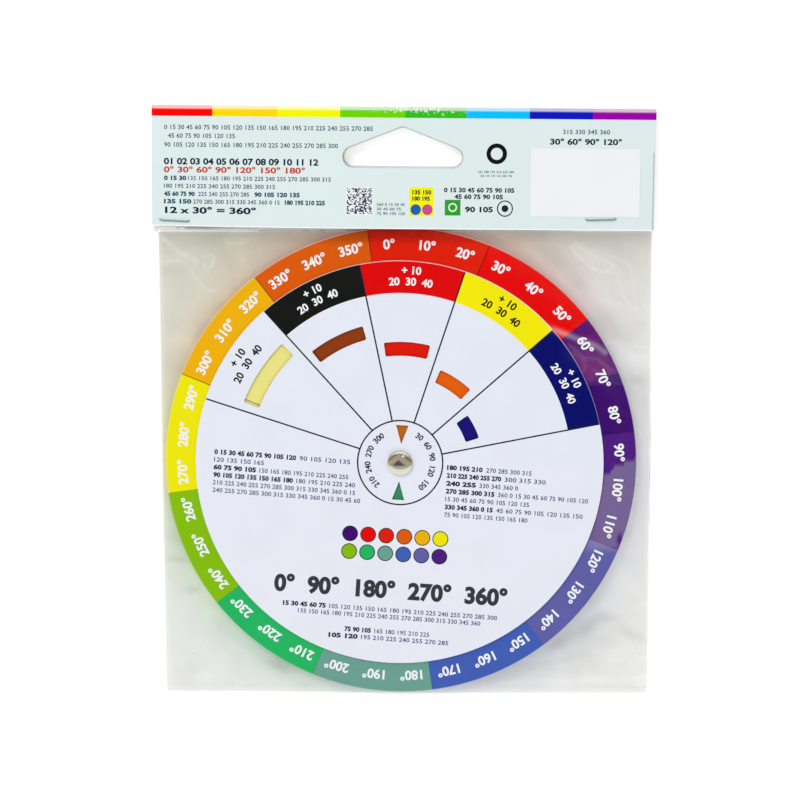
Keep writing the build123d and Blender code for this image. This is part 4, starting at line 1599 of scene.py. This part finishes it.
def header_numbers(text, left, right, middle, size, bold, steps=5):
    """Numbers on the header's front panel, stretched to reach from left to right."""
    points, faces = stretched(text, right - left, size, bold, steps)
    u, v, z = fold_blank((left + right) / 2 + points[:, 0], FOLD_OUT + FOLD_V - middle - points[:, 1])
    return np.stack([*header_to_pack(u, v), z + ABOVE + points[:, 2]], axis=1), faces


def header_row(left, right, low, height, first, bold):
    """Numbers that count on from first in one row of the header, its foot at low."""
    text = counting(first, right - left, height)
    return header_numbers(text, left, right, low + height / 2, height, bold, 2)


# %% Inks
INK_COLORS = {
    "white_ink": linear(244, 246, 250), "dark_ink": linear(22, 24, 30), "grey_ink": linear(58, 58, 66),
    "navy_ink": linear(24, 32, 62), "blue_ink": linear(38, 54, 100), "teal_ink": linear(30, 78, 88),
    "deep_ink": linear(18, 34, 48), "red_ink": linear(200, 58, 30),
}
inks = {}
for name, color in INK_COLORS.items():
    inks[name], shader = new_material(name)
    finish_card(shader, color, roughness=0.45, strength=0.05, bump=0.05)
print("inks:", sorted(inks))

# %% Rows on the dial
ROW_HEIGHT = 1.32
LEFT_ROWS = [
    (-55.4, -31.0, -14.9), (-55.5, None, -40.6), (-55.7, -43.0, -15.5), (-55.8, -32.0, -13.5),
    (-56.0, None, -13.5), (-56.1, None, -12.0),
]
RIGHT_ROWS = [
    (13.9, 24.5, 39.0), (13.8, 30.0, 43.2), (13.6, 22.5, 35.0), (13.5, 28.0, 55.8), (13.3, None, 38.3),
    (13.2, 27.5, 54.2), (13.0, None, 37.8),
]
LOWER_ROWS = [
    (-35.4, -22.5, 28.8, -43.2), (-30.9, None, 23.8, -45.6), (-17.0, -9.0, 8.5, -51.2),
    (-21.8, -13.0, 14.2, -53.0),
]

# Each row's start, the end of its heavier part if it has one, its end, its foot and its slope.
table = [(*row, 2.6 - 2.3 * k, -4.4) for k, row in enumerate(LEFT_ROWS)]
table += [(*row, -2.1 - 2.37 * k, -4.1) for k, row in enumerate(RIGHT_ROWS)]
table += [(*row, -4.1) for row in LOWER_ROWS]
plain, heavy = [], []
for k, (left, middle, right, low, slope) in enumerate(table):
    if middle is not None:
        heavy.append(sloped_row(left, middle, low, slope, ROW_HEIGHT, 30 * k, 0.05))
        low = low + (middle + 1 - left) * math.tan(math.radians(slope))
        left = middle + 1
    plain.append(sloped_row(left, right, low, slope, ROW_HEIGHT, 30 * k + 90, 0.012))
print_piece("dial_print_plain", plain, "front_dial", "dial_card", inks["blue_ink"])
print_piece("dial_print_heavy", heavy, "front_dial", "dial_card", inks["navy_ink"])

# %% Rows on the header
HEADER_ROWS = {
    "header_print_teal": ("teal_ink", 0.014, [
        (-70.0, -8.8, 10.6, 1.3), (-68.9, -49.2, 8.1, 1.3), (-70.0, -19.0, 5.5, 1.3),
        (-63.0, -21.0, -4.2, 1.2), (-70.1, -37.4, -6.5, 1.2), (-60.0, -45.0, -8.8, 1.2),
        (-61.5, -36.0, -11.0, 1.2), (46.6, 60.3, 10.2, 1.3), (-7.5, 0.7, -11.0, 0.8),
        (-7.5, -0.4, -12.3, 0.8), (-7.5, 0.8, -13.6, 0.8), (22.6, 31.9, -2.4, 0.6),
        (22.0, 32.5, -1.3, 0.65),
    ]),
    "header_print_deep": ("deep_ink", 0.04, [
        (12.1, 32.7, -6.9, 1.25), (15.2, 29.4, -8.8, 1.25), (18.3, 26.5, -12.6, 1.5),
        (2.9, 8.4, -7.6, 1.15), (2.9, 8.0, -9.4, 1.15),
    ]),
    "header_print_heavy": ("teal_ink", 0.05, [
        (-70.1, -63.5, -4.2, 1.2), (-70.1, -61.0, -8.8, 1.2), (-43.5, -30.1, -8.8, 1.2),
        (-70.1, -62.0, -11.0, 1.2), (-34.5, -22.7, -11.0, 1.2),
    ]),
}
for name, (ink, bold, rows) in HEADER_ROWS.items():
    made = [header_row(*row, 45 * k, bold) for k, row in enumerate(rows)]
    print_piece(name, made, "package", "header_stock", inks[ink])

# %% Scale, field and hub numbers
RIM_TEXT_RADIUS, RIM_TEXT_SIZE, RIM_TEXT_START = 65.1, 2.75, 92.7
FIELD_TEXT_SIZE = 2.2
HUB_TEXT_RADIUS, HUB_TEXT_SIZE = 9.7, 1.65
STROKE = 0.03
FIELD_ROWS = [(57.4, "+ 10"), (54.1, "20  30  40")]
FIELD_INKS = {"field_numbers_light": ("white_ink", [0, 2, 3]), "field_numbers_dark": ("dark_ink", [1, 4])}
HUB_ROWS = [("210  240  270  300", 174.0), ("30  60  90  120  150", 3.0)]

made = []
for degrees in range(0, 360, 10):
    glyphs = glyph_mesh(f"{degrees}°", RIM_TEXT_SIZE, STROKE)
    made.append(bent_round(glyphs, RIM_TEXT_RADIUS, RIM_TEXT_START - degrees, DISC_TOP + ABOVE))
print_piece("rim_scale", made, "color_disc", "disc_card", inks["white_ink"])
for name, (ink, fields) in FIELD_INKS.items():
    made = []
    for middle in [LINE_FIRST + LINE_STEP * (field + 0.5) for field in fields]:
        for radius, text in FIELD_ROWS:
            glyphs = glyph_mesh(text, FIELD_TEXT_SIZE, STROKE)
            made.append(bent_round(glyphs, radius, middle, DIAL_TOP + ABOVE))
    print_piece(name, made, "front_dial", "dial_card", inks[ink])
made = []
for text, middle in HUB_ROWS:
    glyphs = glyph_mesh(text, HUB_TEXT_SIZE, STROKE)
    made.append(bent_round(glyphs, HUB_TEXT_RADIUS, middle, DIAL_TOP + ABOVE))
print_piece("hub_numbers", made, "front_dial", "dial_card", inks["navy_ink"])

# %% Larger numbers on the header and the dial
made = [
    header_numbers("01 02 03 04 05 06 07 08 09 10 11 12", -70.1, -24.7, 1.3, 1.75, 0.035),
    header_numbers("12 x 30° = 360°", -69.8, -43.0, -12.9, 1.75, 0.035),
    header_numbers("30° 60° 90° 120°", 42.9, 63.8, 8.0, 1.6, 0.035),
]
print_piece("header_numbers", made, "package", "header_stock", inks["deep_ink"])
made = [header_numbers("0° 30° 60° 90° 120° 150° 180°", -70.1, -28.6, -1.1, 1.6, 0.03)]
print_piece("header_numbers_red", made, "package", "header_stock", inks["red_ink"])
glyphs = glyph_mesh("0°  90°  180°  270°  360°", 4.8, 0.045)
made = [placed(glyphs, -3.8, -3.0, -38.6, DIAL_TOP + ABOVE)]
print_piece("quarter_turns", made, "front_dial", "dial_card", inks["grey_ink"])
